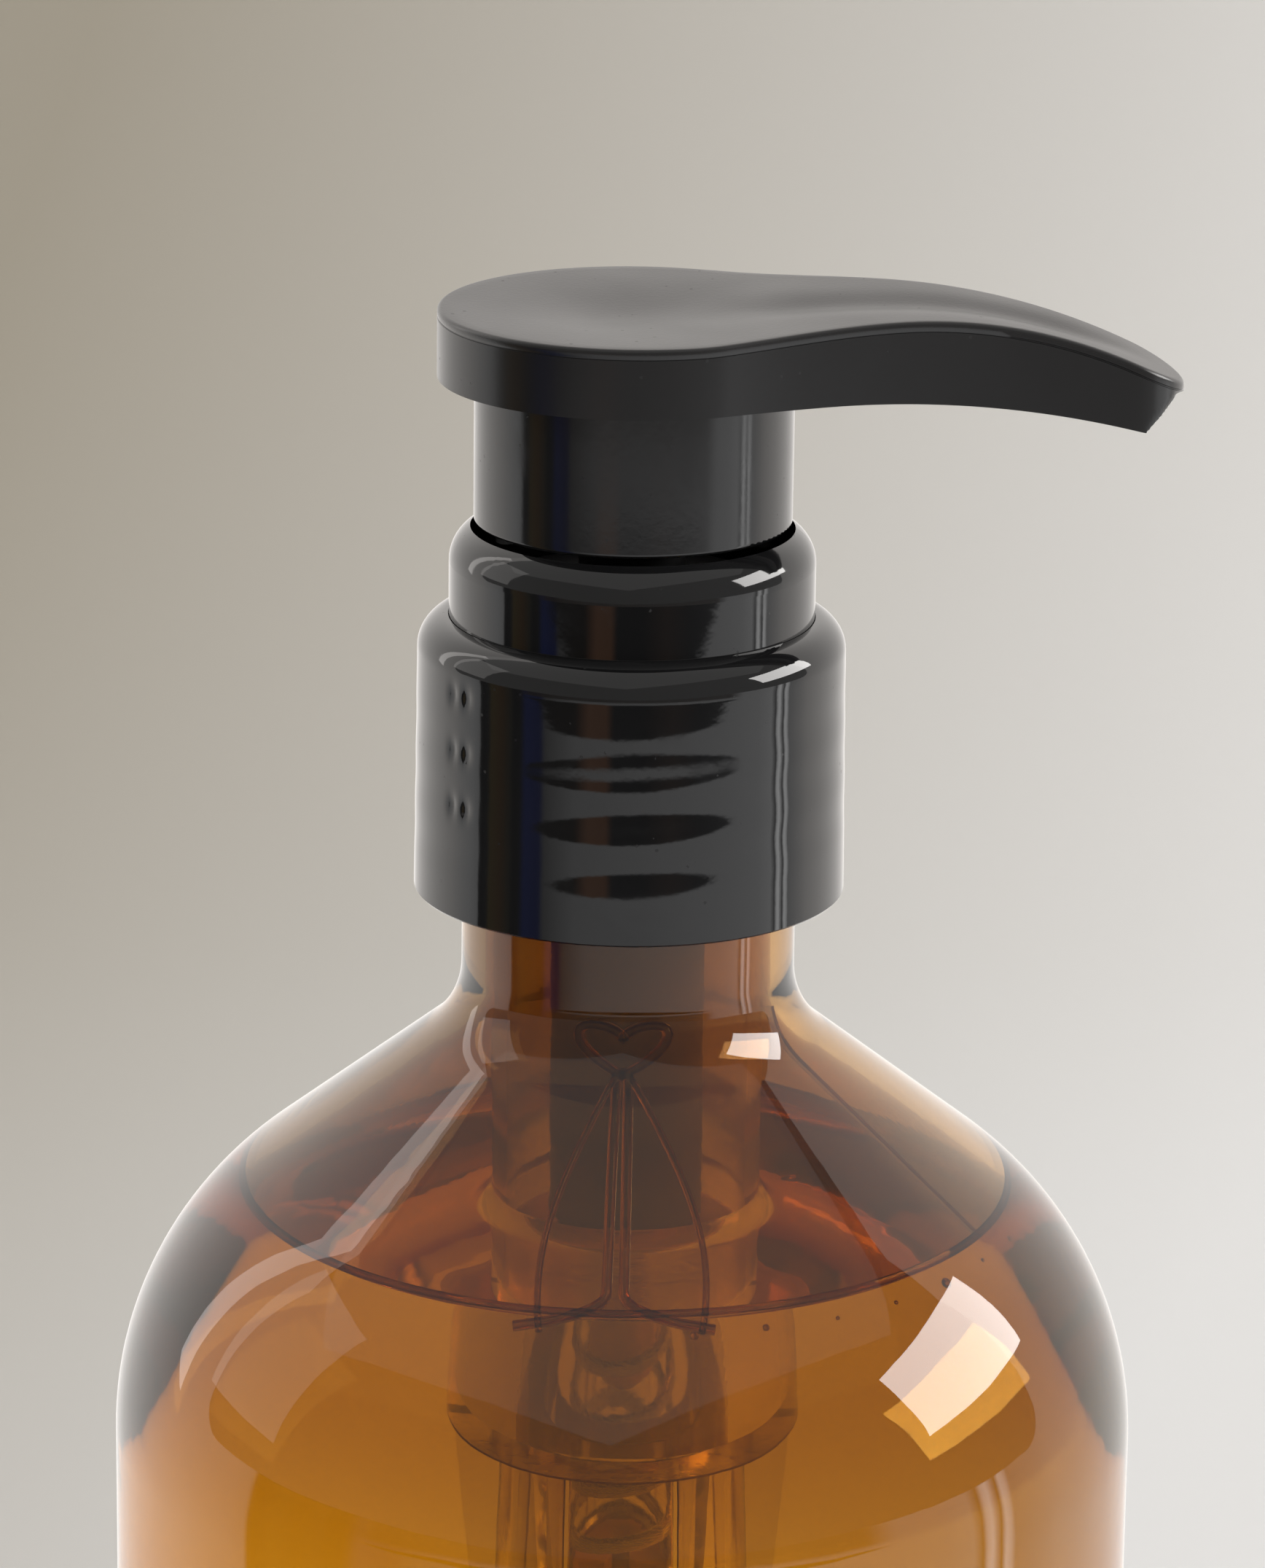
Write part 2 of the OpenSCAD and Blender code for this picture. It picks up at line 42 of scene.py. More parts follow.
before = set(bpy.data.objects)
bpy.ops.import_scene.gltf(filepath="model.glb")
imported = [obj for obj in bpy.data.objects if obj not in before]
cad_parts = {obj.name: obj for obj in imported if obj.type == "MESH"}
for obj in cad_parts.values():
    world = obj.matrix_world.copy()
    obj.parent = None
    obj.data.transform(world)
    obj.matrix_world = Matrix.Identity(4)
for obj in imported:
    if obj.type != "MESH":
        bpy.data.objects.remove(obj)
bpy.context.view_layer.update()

MM = 0.001
SMOOTH_ANGLE = math.radians(38)


def top_of(node):
    """Height of a node's top, in millimetres."""
    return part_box(node)[1].z / MM


def foot_of(node):
    """Height of a node's lowest point, in millimetres."""
    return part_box(node)[0].z / MM


def radius_of(node):
    """Largest radius of a round node, in millimetres."""
    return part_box(node)[1].y / MM


# The bottle's own sizes, in millimetres
MOUTH = top_of("bottle")
BODY_R = radius_of("bottle")
WALL = 0.8
FLOOR = 1.2
HEEL = 8.0
FOOT_R = 25.0
PUNT_H = 4.0
NECK_R = 12.57
BORE_R = 10.8
NECK_FOOT = MOUTH - 22.32
COVE = 7.24
SHOULDER_R = 26.86
SHOULDER_IN_R = 23.19
SHOULDER_Z = 98.96
SLOPE = math.radians(38.1)

# The screw thread's sizes, in millimetres
PITCH = 4.233
THREAD_DEPTH = 1.13
THREAD_ROOT = 1.1
THREAD_CREST = 0.45
NECK_TURNS = 1.5
CAP_TURNS = 1.25
NECK_THREAD_Z = MOUTH - 9
CAP_THREAD_Z = NECK_THREAD_Z - THREAD_ROOT - THREAD_CREST

# The closure's sizes, in millimetres
CAP_TOP = top_of("closure_cap")
CAP_FOOT = foot_of("closure_cap")
CAP_R = radius_of("closure_cap")
CAP_TAPER = 0.2
CAP_EDGE = 2.5
CAP_BORE = 14.0
LIP_FOOT = 160.8
LIP_TOP = 162.0
LIP_HOLE = 12.85
COLLAR_SEAT = 13.71

# The head's sizes, in millimetres
HEAD_R = radius_of("actuator_head")
SPOUT_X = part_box("actuator_head")[1].x / MM
HEAD_Z = 181.4
HEAD_TOP = 186.6
TIP_R = 4.1
TIP_X = SPOUT_X - TIP_R
BLEND_R = 80.0
HUMP_X = 19.5
HUMP_R = 42.0
HUMP_H = 0.7
BELLY_X = 14.0
BELLY_R = 95.0
HEAD_WALL = 1.5
CEILING = 184.8
BOSS_R = 5.6
BOSS_BORE = 4.01
BOSS_FOOT = foot_of("actuator_head")
END_LEAN = math.tan(math.radians(42))

# Heights in metres between which the bottle's wall grows from its body's thickness to its shoulder's
THIN_BELOW = 0.094
THICK_ABOVE = 0.114

# Wall numbers tell a relief which vertices it may move
NO_WALL, NECK_WALL, BORE_WALL, SKIN_WALL = range(4)


# ---------- Mesh making ----------


def arc(cx, cz, radius, start, end, steps):
    """Points on an arc from start to end, in degrees, both ends included."""
    points = []
    for i in range(steps + 1):
        a = math.radians(start + (end - start) * i / steps)
        points.append((cx + radius * math.cos(a), cz + radius * math.sin(a)))
    return points


def line(a, b, steps):
    """Points from a to b, both ends included."""
    return [(a[0] + (b[0] - a[0]) * i / steps, a[1] + (b[1] - a[1]) * i / steps)
            for i in range(steps + 1)]


def tidy_profile(points):
    """The points without doubles that follow each other."""
    kept = []
    for p in points:
        if not kept or math.dist(p[:2], kept[-1][:2]) > 0.001:
            kept.append(p)
    return kept


def mesh_object(name, bm, material):
    """A shaded object from a bmesh whose doubles are merged and whose faces point outwards."""
    bmesh.ops.remove_doubles(bm, verts=bm.verts, dist=1e-6)
    bmesh.ops.recalc_face_normals(bm, faces=bm.faces)
    mesh = bpy.data.meshes.new(name)
    bm.to_mesh(mesh)
    bm.free()
    mesh.shade_smooth()
    mesh.set_sharp_from_angle(angle=SMOOTH_ANGLE)
    mesh.materials.append(material)
    obj = bpy.data.objects.new(name, mesh)
    bpy.context.scene.collection.objects.link(obj)
    return obj


def add_lathe(bm, profile, segments):
    """Turns a profile of (radius, height) or (radius, height, wall) points round the axis.

    A profile that starts and ends on the axis closes there, any other joins its two ends.
    """
    layer = bm.verts.layers.float.get("wall") or bm.verts.layers.float.new("wall")
    points = tidy_profile(profile)
    rings = []
    for p in points:
        wall = p[2] if len(p) > 2 else NO_WALL
        count = 1 if p[0] < 1e-6 else segments
        ring = []
        for j in range(count):
            a = 2 * math.pi * j / segments
            v = bm.verts.new((p[0] * MM * math.cos(a), p[0] * MM * math.sin(a), p[1] * MM))
            v[layer] = wall
            ring.append(v)
        rings.append(ring)
    pairs = list(zip(rings, rings[1:]))
    if points[0][0] > 1e-6 or points[-1][0] > 1e-6:
        pairs.append((rings[-1], rings[0]))
    for low, high in pairs:
        for j in range(segments):
            k = (j + 1) % segments
            corners = []
            for v in (low[j % len(low)], low[k % len(low)], high[k % len(high)], high[j % len(high)]):
                if v not in corners:
                    corners.append(v)
            if len(corners) > 2:
                bm.faces.new(corners)


def lathe(name, profile, segments, material):
    """A round piece from its profile."""
    bm = bmesh.new()
    add_lathe(bm, profile, segments)
    return mesh_object(name, bm, material)


def tube_mesh(bm, path, radius, sides, closed=False):
    """Adds a round tube along a path of points in metres."""
    count = len(path)
    rings = []
    side = Vector((0, 0, 1))
    for i, p in enumerate(path):
        before = path[i - 1] if closed or i else p
        after = path[(i + 1) % count] if closed or i < count - 1 else p
        run = (after - before).normalized()
        side = (side - run * side.dot(run)).normalized()
        other = run.cross(side)
        r = radius[i] if isinstance(radius, list) else radius
        rings.append([bm.verts.new(p + side * r * math.cos(a) + other * r * math.sin(a))
                      for a in (2 * math.pi * j / sides for j in range(sides))])
    for i in range(count if closed else count - 1):
        low, high = rings[i], rings[(i + 1) % count]
        for j in range(sides):
            k = (j + 1) % sides
            bm.faces.new((low[j], low[k], high[k], high[j]))
    if not closed:
        bm.faces.new(rings[0])
        bm.faces.new(rings[-1])


# ---------- Geometry node trees ----------


class TreeMaker:
    """Short words for wiring a node tree."""

    def __init__(self, name, kind):
        self.tree = bpy.data.node_groups.new(name, kind)
        self.source = self.tree.nodes.new("NodeGroupInput")
        self.target = self.tree.nodes.new("NodeGroupOutput")

    def input(self, name, kind, default=None, low=None, high=None):
        socket = self.tree.interface.new_socket(name, in_out="INPUT", socket_type=kind)
        if default is not None:
            socket.default_value = default
        if low is not None:
            socket.min_value = low
        if high is not None:
            socket.max_value = high
        return self.source.outputs[name]

    def output(self, name, kind, link=None):
        self.tree.interface.new_socket(name, in_out="OUTPUT", socket_type=kind)
        if link is not None:
            self.tree.links.new(link, self.target.inputs[name])

    def node(self, kind, settings=None, **inputs):
        return add_node(self.tree, kind, settings, **inputs)

    def math(self, operation, *values, clamp=False):
        return add_math(self.tree, operation, *values, clamp=clamp)


def put(tree, socket, value):
    """Links a socket, or sets its value."""
    if isinstance(value, bpy.types.NodeSocket):
        tree.links.new(value, socket)
    elif value is not None:
        socket.default_value = value


def add_node(tree, kind, settings=None, **inputs):
    """A node with its settings, and its inputs named with underscores for spaces."""
    n = tree.nodes.new(kind)
    for key, value in (settings or {}).items():
        setattr(n, key, value)
    for key, value in inputs.items():
        put(tree, n.inputs[key.replace("_", " ")], value)
    return n


def add_math(tree, operation, *values, clamp=False):
    """A math node's result."""
    n = tree.nodes.new("ShaderNodeMath")
    n.operation = operation
    n.use_clamp = clamp
    for socket, value in zip(n.inputs, values):
        put(tree, socket, value)
    return n.outputs[0]


def add_mix(tree, share, first, second):
    """A colour that runs from the first to the second as share goes from 0 to 1."""
    n = tree.nodes.new("ShaderNodeMix")
    n.data_type = "RGBA"
    for place, value in ((0, share), (6, first), (7, second)):
        put(tree, n.inputs[place], value)
    return n.outputs[2]


def finish_geometry(t, geometry, material):
    """Ends a geometry tree with real mesh and its material."""
    real = t.node("GeometryNodeRealizeInstances", Geometry=geometry)
    painted = t.node("GeometryNodeSetMaterial", Geometry=real.outputs[0], Material=material)
    t.output("Geometry", "NodeSocketGeometry", painted.outputs[0])


def helix_relief_tree():
    """Raises or sinks a helical band on the round walls that carry one wall number."""
    t = TreeMaker("Helix Relief", "GeometryNodeTree")
    geometry = t.input("Geometry", "NodeSocketGeometry")
    start = t.input("Start Height", "NodeSocketFloat", 0.15)
    pitch = t.input("Pitch", "NodeSocketFloat", PITCH * MM, 0.0005, 0.02)
    turns = t.input("Turns", "NodeSocketFloat", 1.5, 0.1, 12.0)
    depth = t.input("Depth", "NodeSocketFloat", THREAD_DEPTH * MM, -0.003, 0.003)
    root = t.input("Root Half Width", "NodeSocketFloat", THREAD_ROOT * MM, 0.0001, 0.01)
    crest = t.input("Crest Half Width", "NodeSocketFloat", THREAD_CREST * MM, 0.0, 0.01)
    run_out = t.input("Run Out Turns", "NodeSocketFloat", 0.11, 0.01, 1.0)
    wall = t.input("Wall Number", "NodeSocketFloat", NECK_WALL, 0, 9)
    material = t.input("Material", "NodeSocketMaterial")

    place = t.node("GeometryNodeInputPosition")
    xyz = t.node("ShaderNodeSeparateXYZ", Vector=place.outputs[0])
    x, y, z = xyz.outputs
    share = t.math("FRACT", t.math("DIVIDE", t.math("ARCTAN2", y, x), 2 * math.pi))
    climbed = t.math("DIVIDE", t.math("SUBTRACT", z, start), pitch)
    whole = t.math("ROUND", t.math("SUBTRACT", climbed, share))
    turn = t.math("ADD", whole, share)
    off = t.math("ABSOLUTE", t.math("MULTIPLY", t.math("SUBTRACT", climbed, turn), pitch))
    end = t.math("MINIMUM", turn, t.math("SUBTRACT", turns, turn))
    fade = t.math("DIVIDE", end, run_out, clamp=True)
    flank = t.math("DIVIDE", t.math("SUBTRACT", root, off), t.math("SUBTRACT", root, crest), clamp=True)
    eased = t.math("MULTIPLY", t.math("MULTIPLY", flank, flank),
                   t.math("SUBTRACT", 3.0, t.math("MULTIPLY", flank, 2.0)))
    rise = t.math("MULTIPLY", t.math("MULTIPLY", eased, fade), depth)
    flat = t.node("ShaderNodeCombineXYZ", X=x, Y=y)
    out = t.node("ShaderNodeVectorMath", {"operation": "NORMALIZE"})
    t.tree.links.new(flat.outputs[0], out.inputs[0])
    moved = t.node("ShaderNodeVectorMath", {"operation": "SCALE"}, Scale=rise)
    t.tree.links.new(out.outputs[0], moved.inputs[0])
    number = t.node("GeometryNodeInputNamedAttribute", {"data_type": "FLOAT"}, Name="wall")
    mine = t.math("COMPARE", number.outputs[0], wall, 0.5)
    placed = t.node("GeometryNodeSetPosition", Geometry=geometry, Selection=mine, Offset=moved.outputs[0])
    finish_geometry(t, placed.outputs[0], material)
    return t.tree


def bubble_row_tree():
    """Small bubbles of random size along the line where the soap meets the wall."""
    t = TreeMaker("Bubble Row", "GeometryNodeTree")
    geometry = t.input("Geometry", "NodeSocketGeometry")
    count = t.input("Count", "NodeSocketInt", 9, 1, 60)
    smallest = t.input("Smallest Radius", "NodeSocketFloat", 0.00012, 0.00005, 0.001)
    largest = t.input("Largest Radius", "NodeSocketFloat", 0.0004, 0.00005, 0.002)
    scatter = t.input("Scatter", "NodeSocketFloat", 0.0006, 0.0, 0.01)
    seed = t.input("Seed", "NodeSocketInt", 4)
    material = t.input("Material", "NodeSocketMaterial")

    line_curve = t.node("GeometryNodeMeshToCurve", Mesh=geometry)
    points = t.node("GeometryNodeCurveToPoints", {"mode": "COUNT"}, Curve=line_curve.outputs[0], Count=count)
    shift = t.node("FunctionNodeRandomValue", {"data_type": "FLOAT_VECTOR"}, Seed=seed)
    shift.inputs["Min"].default_value = (-1, -1, -0.25)
    shift.inputs["Max"].default_value = (1, 1, 0.1)
    jump = t.node("ShaderNodeVectorMath", {"operation": "SCALE"}, Scale=scatter)
    t.tree.links.new(shift.outputs[0], jump.inputs[0])
    spread = t.node("GeometryNodeSetPosition", Geometry=points.outputs[0], Offset=jump.outputs[0])
    bead = t.node("GeometryNodeMeshIcoSphere", Radius=1.0, Subdivisions=3)
    smooth = t.node("GeometryNodeSetShadeSmooth", Geometry=bead.outputs[0])
    size = t.node("FunctionNodeRandomValue", {"data_type": "FLOAT"}, Seed=seed)
    t.tree.links.new(smallest, size.inputs[2])
    t.tree.links.new(largest, size.inputs[3])
    placed = t.node("GeometryNodeInstanceOnPoints", Points=spread.outputs[0],
                    Instance=smooth.outputs[0], Scale=size.outputs[1])
    finish_geometry(t, placed.outputs[0], material)
    return t.tree


def shape_by(obj, tree, **values):
    """Runs a geometry tree on an object and keeps the result as a plain mesh."""
    mod = obj.modifiers.new(tree.name, "NODES")
    mod.node_group = tree
    for item in tree.interface.items_tree:
        key = item.name.replace(" ", "_").lower()
        if item.in_out == "INPUT" and key in values:
            mod[item.identifier] = values[key]
    depsgraph = bpy.context.evaluated_depsgraph_get()
    mesh = bpy.data.meshes.new_from_object(
        obj.evaluated_get(depsgraph), preserve_all_data_layers=True, depsgraph=depsgraph)
    before = obj.data
    obj.modifiers.clear()
    obj.data = mesh
    bpy.data.meshes.remove(before)
    mesh.name = obj.name
    return obj


# ---------- Shader node groups ----------


def moulded_grain_group():
    """Fine grain and slow waves of a moulded surface, as height and roughness."""
    t = TreeMaker("Moulded Grain", "ShaderNodeTree")
    vector = t.input("Vector", "NodeSocketVector")
    scale = t.input("Scale", "NodeSocketFloat", 2500.0)
    base = t.input("Roughness", "NodeSocketFloat", 0.3, 0.0, 1.0)
    spread = t.input("Spread", "NodeSocketFloat", 0.1, 0.0, 1.0)
    wave = t.input("Wave", "NodeSocketFloat", 0.5, 0.0, 4.0)
    fine = t.node("ShaderNodeTexNoise", Vector=vector, Scale=scale, Detail=2.0, Roughness=0.6)
    slow = t.node("ShaderNodeTexNoise", Vector=vector, Scale=140.0, Detail=2.0, Roughness=0.5)
    height = t.math("ADD", fine.outputs[0], t.math("MULTIPLY", slow.outputs[0], wave))
    even = t.math("SUBTRACT", slow.outputs[0], 0.5)
    rough = t.math("ADD", base, t.math("MULTIPLY", even, spread), clamp=True)
    t.output("Height", "NodeSocketFloat", height)
    t.output("Roughness", "NodeSocketFloat", rough)
    return t.tree


def handling_group():
    """Faint smudges and fine dust left by hands and air, as masks."""
    t = TreeMaker("Handling Marks", "ShaderNodeTree")
    vector = t.input("Vector", "NodeSocketVector")
    smudge = t.input("Smudge", "NodeSocketFloat", 0.1, 0.0, 1.0)
    dust = t.input("Dust", "NodeSocketFloat", 0.1, 0.0, 1.0)
    cloud = t.node("ShaderNodeTexNoise", Vector=vector,
                   Scale=90.0, Detail=5.0, Roughness=0.62, Distortion=0.8)
    patch = t.math("MULTIPLY", t.math("SUBTRACT", cloud.outputs[0], 0.52), 5.0, clamp=True)
    t.output("Smudge", "NodeSocketFloat", t.math("MULTIPLY", patch, smudge))
    cells = t.node("ShaderNodeTexVoronoi", Vector=vector, Scale=900.0, Randomness=1.0)
    speck = t.math("LESS_THAN", cells.outputs["Distance"], 0.12)
    sparse = t.node("ShaderNodeTexNoise", Vector=vector, Scale=420.0, Detail=1.0)
    kept = t.math("GREATER_THAN", sparse.outputs[0], 0.6)
    t.output("Dust", "NodeSocketFloat", t.math("MULTIPLY", t.math("MULTIPLY", speck, kept), dust))
    return t.tree


def colour_drift_group():
    """A base colour that drifts a little between two shades over the surface."""
    t = TreeMaker("Colour Drift", "ShaderNodeTree")
    vector = t.input("Vector", "NodeSocketVector")
    first = t.input("Colour", "NodeSocketColor", (0.5, 0.5, 0.5, 1))
    second = t.input("Second Colour", "NodeSocketColor", (0.4, 0.4, 0.4, 1))
    scale = t.input("Scale", "NodeSocketFloat", 60.0)
    noise = t.node("ShaderNodeTexNoise", Vector=vector, Scale=scale, Detail=3.0, Roughness=0.55)
    share = t.math("MULTIPLY", t.math("SUBTRACT", noise.outputs[0], 0.3), 2.5, clamp=True)
    t.output("Colour", "NodeSocketColor", add_mix(t.tree, share, first, second))
    return t.tree


class Paint:
    """A material in the making: its shader, its object coordinates and the shared groups."""

    def __init__(self, name, roughness=0.4, ior=1.5):
        self.material = bpy.data.materials.new(name)
        self.material.use_nodes = True
        self.tree = self.material.node_tree
        self.tree.nodes.clear()
        self.output = self.tree.nodes.new("ShaderNodeOutputMaterial")
        self.shader = self.node("ShaderNodeBsdfPrincipled", Roughness=roughness, IOR=ior)
        self.tree.links.new(self.shader.outputs[0], self.output.inputs["Surface"])
        self.place = self.node("ShaderNodeTexCoord").outputs["Object"]

    def node(self, kind, settings=None, **inputs):
        return add_node(self.tree, kind, settings, **inputs)

    def math(self, operation, *values, clamp=False):
        return add_math(self.tree, operation, *values, clamp=clamp)

    def group(self, name, **inputs):
        n = self.tree.nodes.new("ShaderNodeGroup")
        n.node_tree = bpy.data.node_groups[name]
        put(self.tree, n.inputs["Vector"], self.place)
        for key, value in inputs.items():
            put(self.tree, n.inputs[key.replace("_", " ")], value)
        return n

    def set(self, name, value):
        put(self.tree, self.shader.inputs[name], value)

    def bump(self, height, distance, strength=1.0):
        n = self.node("ShaderNodeBump", Height=height, Distance=distance, Strength=strength)
        self.set("Normal", n.outputs[0])

    def mix(self, share, first, second):
        return add_mix(self.tree, share, first, second)

    def drift(self, first, second, scale):
        return self.group("Colour Drift", Colour=first, Second_Colour=second, Scale=scale).outputs[0]

    def colour(self, first, second, scale):
        self.set("Base Color", self.drift(first, second, scale))

    def grain(self, depth, marks=None, **values):
        """A moulded grain in the roughness and the bump, with handling marks if there are any."""
        n = self.group("Moulded Grain", **values)
        rough = n.outputs["Roughness"]
        if marks:
            rough = self.math("ADD", rough, self.math(
                "ADD", marks.outputs["Smudge"], marks.outputs["Dust"]), clamp=True)
        self.set("Roughness", rough)
        self.bump(n.outputs["Height"], depth)

    def let_light_through(self, tint):
        """Lamps shine through the surface with a plain tint."""
        clear = self.node("ShaderNodeBsdfTransparent", Color=tint)
        rays = self.node("ShaderNodeLightPath")
        mix = self.node("ShaderNodeMixShader")
        self.tree.links.new(rays.outputs["Is Shadow Ray"], mix.inputs[0])
        self.tree.links.new(self.shader.outputs[0], mix.inputs[1])
        self.tree.links.new(clear.outputs[0], mix.inputs[2])
        self.tree.links.new(mix.outputs[0], self.output.inputs["Surface"])


def rgba(colour):
    """A colour with full alpha."""
    return (colour[0], colour[1], colour[2], 1.0)


def shade(colour, factor):
    """A darker or lighter copy of a colour."""
    return tuple(min(1.0, c * factor) for c in colour[:3]) + (1.0,)


def amber_material(settings):
    """Polished clear amber wall."""
    p = Paint("amber_wall", 0.0, 1.5)
    p.set("Transmission Weight", 1.0)
    xyz = p.node("ShaderNodeSeparateXYZ", Vector=p.place)
    thick = p.node("ShaderNodeMapRange", {"interpolation_type": "SMOOTHSTEP"}, Value=xyz.outputs[2])
    thick.inputs["From Min"].default_value = THIN_BELOW
    thick.inputs["From Max"].default_value = THICK_ABOVE
    body, shoulder = (p.drift(rgba(tint), shade(tint, 0.94), 28.0)
                      for tint in (settings.amber_thin, settings.amber))
    p.set("Base Color", p.mix(thick.outputs[0], body, shoulder))
    p.grain(0.00002, Scale=60.0, Roughness=0.008, Spread=0.01, Wave=1.0)
    p.let_light_through(rgba(settings.amber))
    return p.material


def soap_material(settings):
    """Clear golden liquid soap."""
    p = Paint("soap_liquid", 0.0, 1.36)
    p.set("Transmission Weight", 1.0)
    p.colour(rgba(settings.soap), shade(settings.soap, 0.96), 22.0)
    p.let_light_through(rgba(settings.soap))
    return p.material


def film_material(settings):
    """Golden rim of a soap film where it clings to the wall."""
    p = Paint("soap_film", 0.02, 1.42)
    p.set("Transmission Weight", 1.0)
    p.colour(rgba(settings.film), shade(settings.film, 0.85), 300.0)
    p.let_light_through(rgba(settings.film))
    return p.material


def gloss_black_material(settings):
    """Polished black moulding with faint smudges and a little dust."""
    p = Paint("gloss_black", 0.08, 1.5)
    p.colour(rgba(settings.black), shade(settings.black, 1.5), 45.0)
    marks = p.group("Handling Marks", Smudge=0.08, Dust=0.25)
    p.grain(0.000002, marks, Scale=900.0, Roughness=settings.gloss, Spread=0.03, Wave=0.6)
    return p.material


def sleeve_material(settings):
    """Black moulding, a little softer than the closure."""
    p = Paint("sleeve_black", 0.16, 1.5)
    p.colour(rgba(settings.black), shade(settings.black, 1.7), 45.0)
    marks = p.group("Handling Marks", Smudge=0.1, Dust=0.2)
    p.grain(0.000003, marks, Scale=1500.0, Roughness=0.10, Spread=0.05, Wave=0.5)
    return p.material


# Roughness of the head's sides
SIDE_ROUGH = 0.24


def head_material(settings):
    """Satin top and semi-gloss sides, told apart by the painted attribute."""
    p = Paint("satin_head", 0.4, 1.5)
    top = p.node("ShaderNodeAttribute", {"attribute_name": "satin"}).outputs["Fac"]
    sides = p.drift(rgba(settings.black), shade(settings.black, 1.5), 45.0)
    satin = p.drift(rgba(settings.satin), shade(settings.satin, 0.88), 80.0)
    p.set("Base Color", p.mix(top, sides, satin))
    grain = p.group("Moulded Grain", Scale=3200.0, Roughness=SIDE_ROUGH, Spread=0.07, Wave=0.3)
    marks = p.group("Handling Marks", Smudge=0.05, Dust=0.15)
    rougher = p.math("MULTIPLY", top, settings.satin_rough - SIDE_ROUGH)
    rough = p.math("ADD", grain.outputs["Roughness"], rougher)
    p.set("Roughness", p.math("ADD", rough, marks.outputs["Dust"], clamp=True))
    p.bump(p.math("MULTIPLY", grain.outputs["Height"], p.math("ADD", 0.25, top)), 0.000012)
    return p.material


def mould_black_material(settings):
    """Plain black moulding of the parts inside."""
    p = Paint("moulded_black", 0.45, 1.5)
    p.colour(shade(settings.black, 1.1), shade(settings.black, 1.8), 70.0)
    p.grain(0.00001, Scale=2600.0, Roughness=0.42, Spread=0.12, Wave=0.6)
    return p.material


def natural_material(name, tint, clear, rough):
    """Translucent natural moulding."""
    p = Paint(name, rough, 1.45)
    p.set("Transmission Weight", clear)
    p.colour(rgba(tint), shade(tint, 0.93), 120.0)
    p.grain(0.00001, Scale=900.0, Roughness=rough, Spread=0.08, Wave=0.8)
    p.let_light_through(shade(tint, 0.9))
    return p.material


def seal_material():
    """Soft milky plastic of the piston and the cage."""
    p = Paint("seal_white", 0.4, 1.48)
    p.set("Subsurface Weight", 0.25)
    p.set("Subsurface Radius", (1.0, 0.9, 0.7))
    p.set("Subsurface Scale", 0.0012)
    p.colour((0.86, 0.83, 0.74, 1), (0.78, 0.75, 0.66, 1), 150.0)
    p.grain(0.00001, Scale=1800.0, Roughness=0.4, Spread=0.1, Wave=0.6)
    return p.material


def gasket_material():
    """Foamed liner with open cells."""
    p = Paint("gasket_foam", 0.8, 1.45)
    p.colour((0.72, 0.69, 0.6, 1), (0.62, 0.59, 0.5, 1), 200.0)
    cells = p.node("ShaderNodeTexVoronoi", Vector=p.place, Scale=2600.0)
    p.set("Roughness", p.math("ADD", 0.7, p.math("MULTIPLY", cells.outputs["Distance"], 0.3), clamp=True))
    p.bump(cells.outputs["Distance"], 0.00012)
    return p.material


def steel_material():
    """Bright drawn steel with fine lines along the wire."""
    p = Paint("drawn_steel", 0.22)
    p.set("Metallic", 1.0)
    p.colour((0.63, 0.64, 0.65, 1), (0.5, 0.51, 0.53, 1), 260.0)
    lines = p.node("ShaderNodeTexWave", {"bands_direction": "Z"}, Vector=p.place,
                   Scale=3000.0, Distortion=6.0, Detail=2.0)
    p.set("Roughness", p.math("ADD", 0.18, p.math("MULTIPLY", lines.outputs["Fac"], 0.14)))
    p.bump(lines.outputs["Fac"], 0.000006)
    return p.material


# ---------- The bottle ----------


def cove_height(rb, rs, rn):
    """Height of the blend's centre between neck and shoulder."""
    return SHOULDER_Z + (math.sin(SLOPE) * (rb - rs - rn - COVE) + rs + COVE) / math.cos(SLOPE)


def shoulder_profile(rb, rs, rn, top, neck_wall, steps):
    """Points up one side of the wall, from the shoulder's foot to the top of the neck."""
    out = 90 - math.degrees(SLOPE)
    cove_z = cove_height(rb, rs, rn)
    points = arc(rb - rs, SHOULDER_Z, rs, 0, out, 28)
    points += arc(rn + COVE, cove_z, COVE, 180 + out, 180, 14)
    neck = line((rn, cove_z), (rn, top), steps)
    return points + [(r, z, neck_wall) for r, z in neck]


def punt(radius, until):
    """Points of the push-up's ball from the axis out to a radius."""
    ball = (FOOT_R ** 2 + PUNT_H ** 2) / (2 * PUNT_H)
    centre = PUNT_H - ball
    return [(r, centre + math.sqrt((ball + radius) ** 2 - r * r))
            for r in (until * i / 12 for i in range(13))]


def bottle_profile():
    """The wall's whole loop: up the outside, over the mouth, down the inside, across the floor."""
    rim = 0.25
    outside = punt(0, FOOT_R) + [(FOOT_R + 3, 0.0)] + arc(BODY_R - HEEL, HEEL, HEEL, -90, 0, 14)
    outside += line((BODY_R, HEEL), (BODY_R, SHOULDER_Z), 24)
    outside += shoulder_profile(BODY_R, SHOULDER_R, NECK_R, MOUTH - rim, NECK_WALL, 72)
    mouth = arc(NECK_R - rim, MOUTH - rim, rim, 0, 90, 4) + arc(BORE_R + rim, MOUTH - rim, rim, 90, 180, 4)
    inner_r = BODY_R - WALL
    inner_heel = HEEL - WALL
    inside = shoulder_profile(inner_r, SHOULDER_IN_R, BORE_R, MOUTH - rim, NO_WALL, 12)
    inside = [(p[0], p[1]) for p in inside][::-1]
    inside += line((inner_r, SHOULDER_Z), (inner_r, FLOOR + inner_heel), 24)
    inside += arc(inner_r - inner_heel, FLOOR + inner_heel, inner_heel, 0, -90, 14)
    inside += punt(FLOOR, 25.19)[::-1]
    return outside + mouth + inside


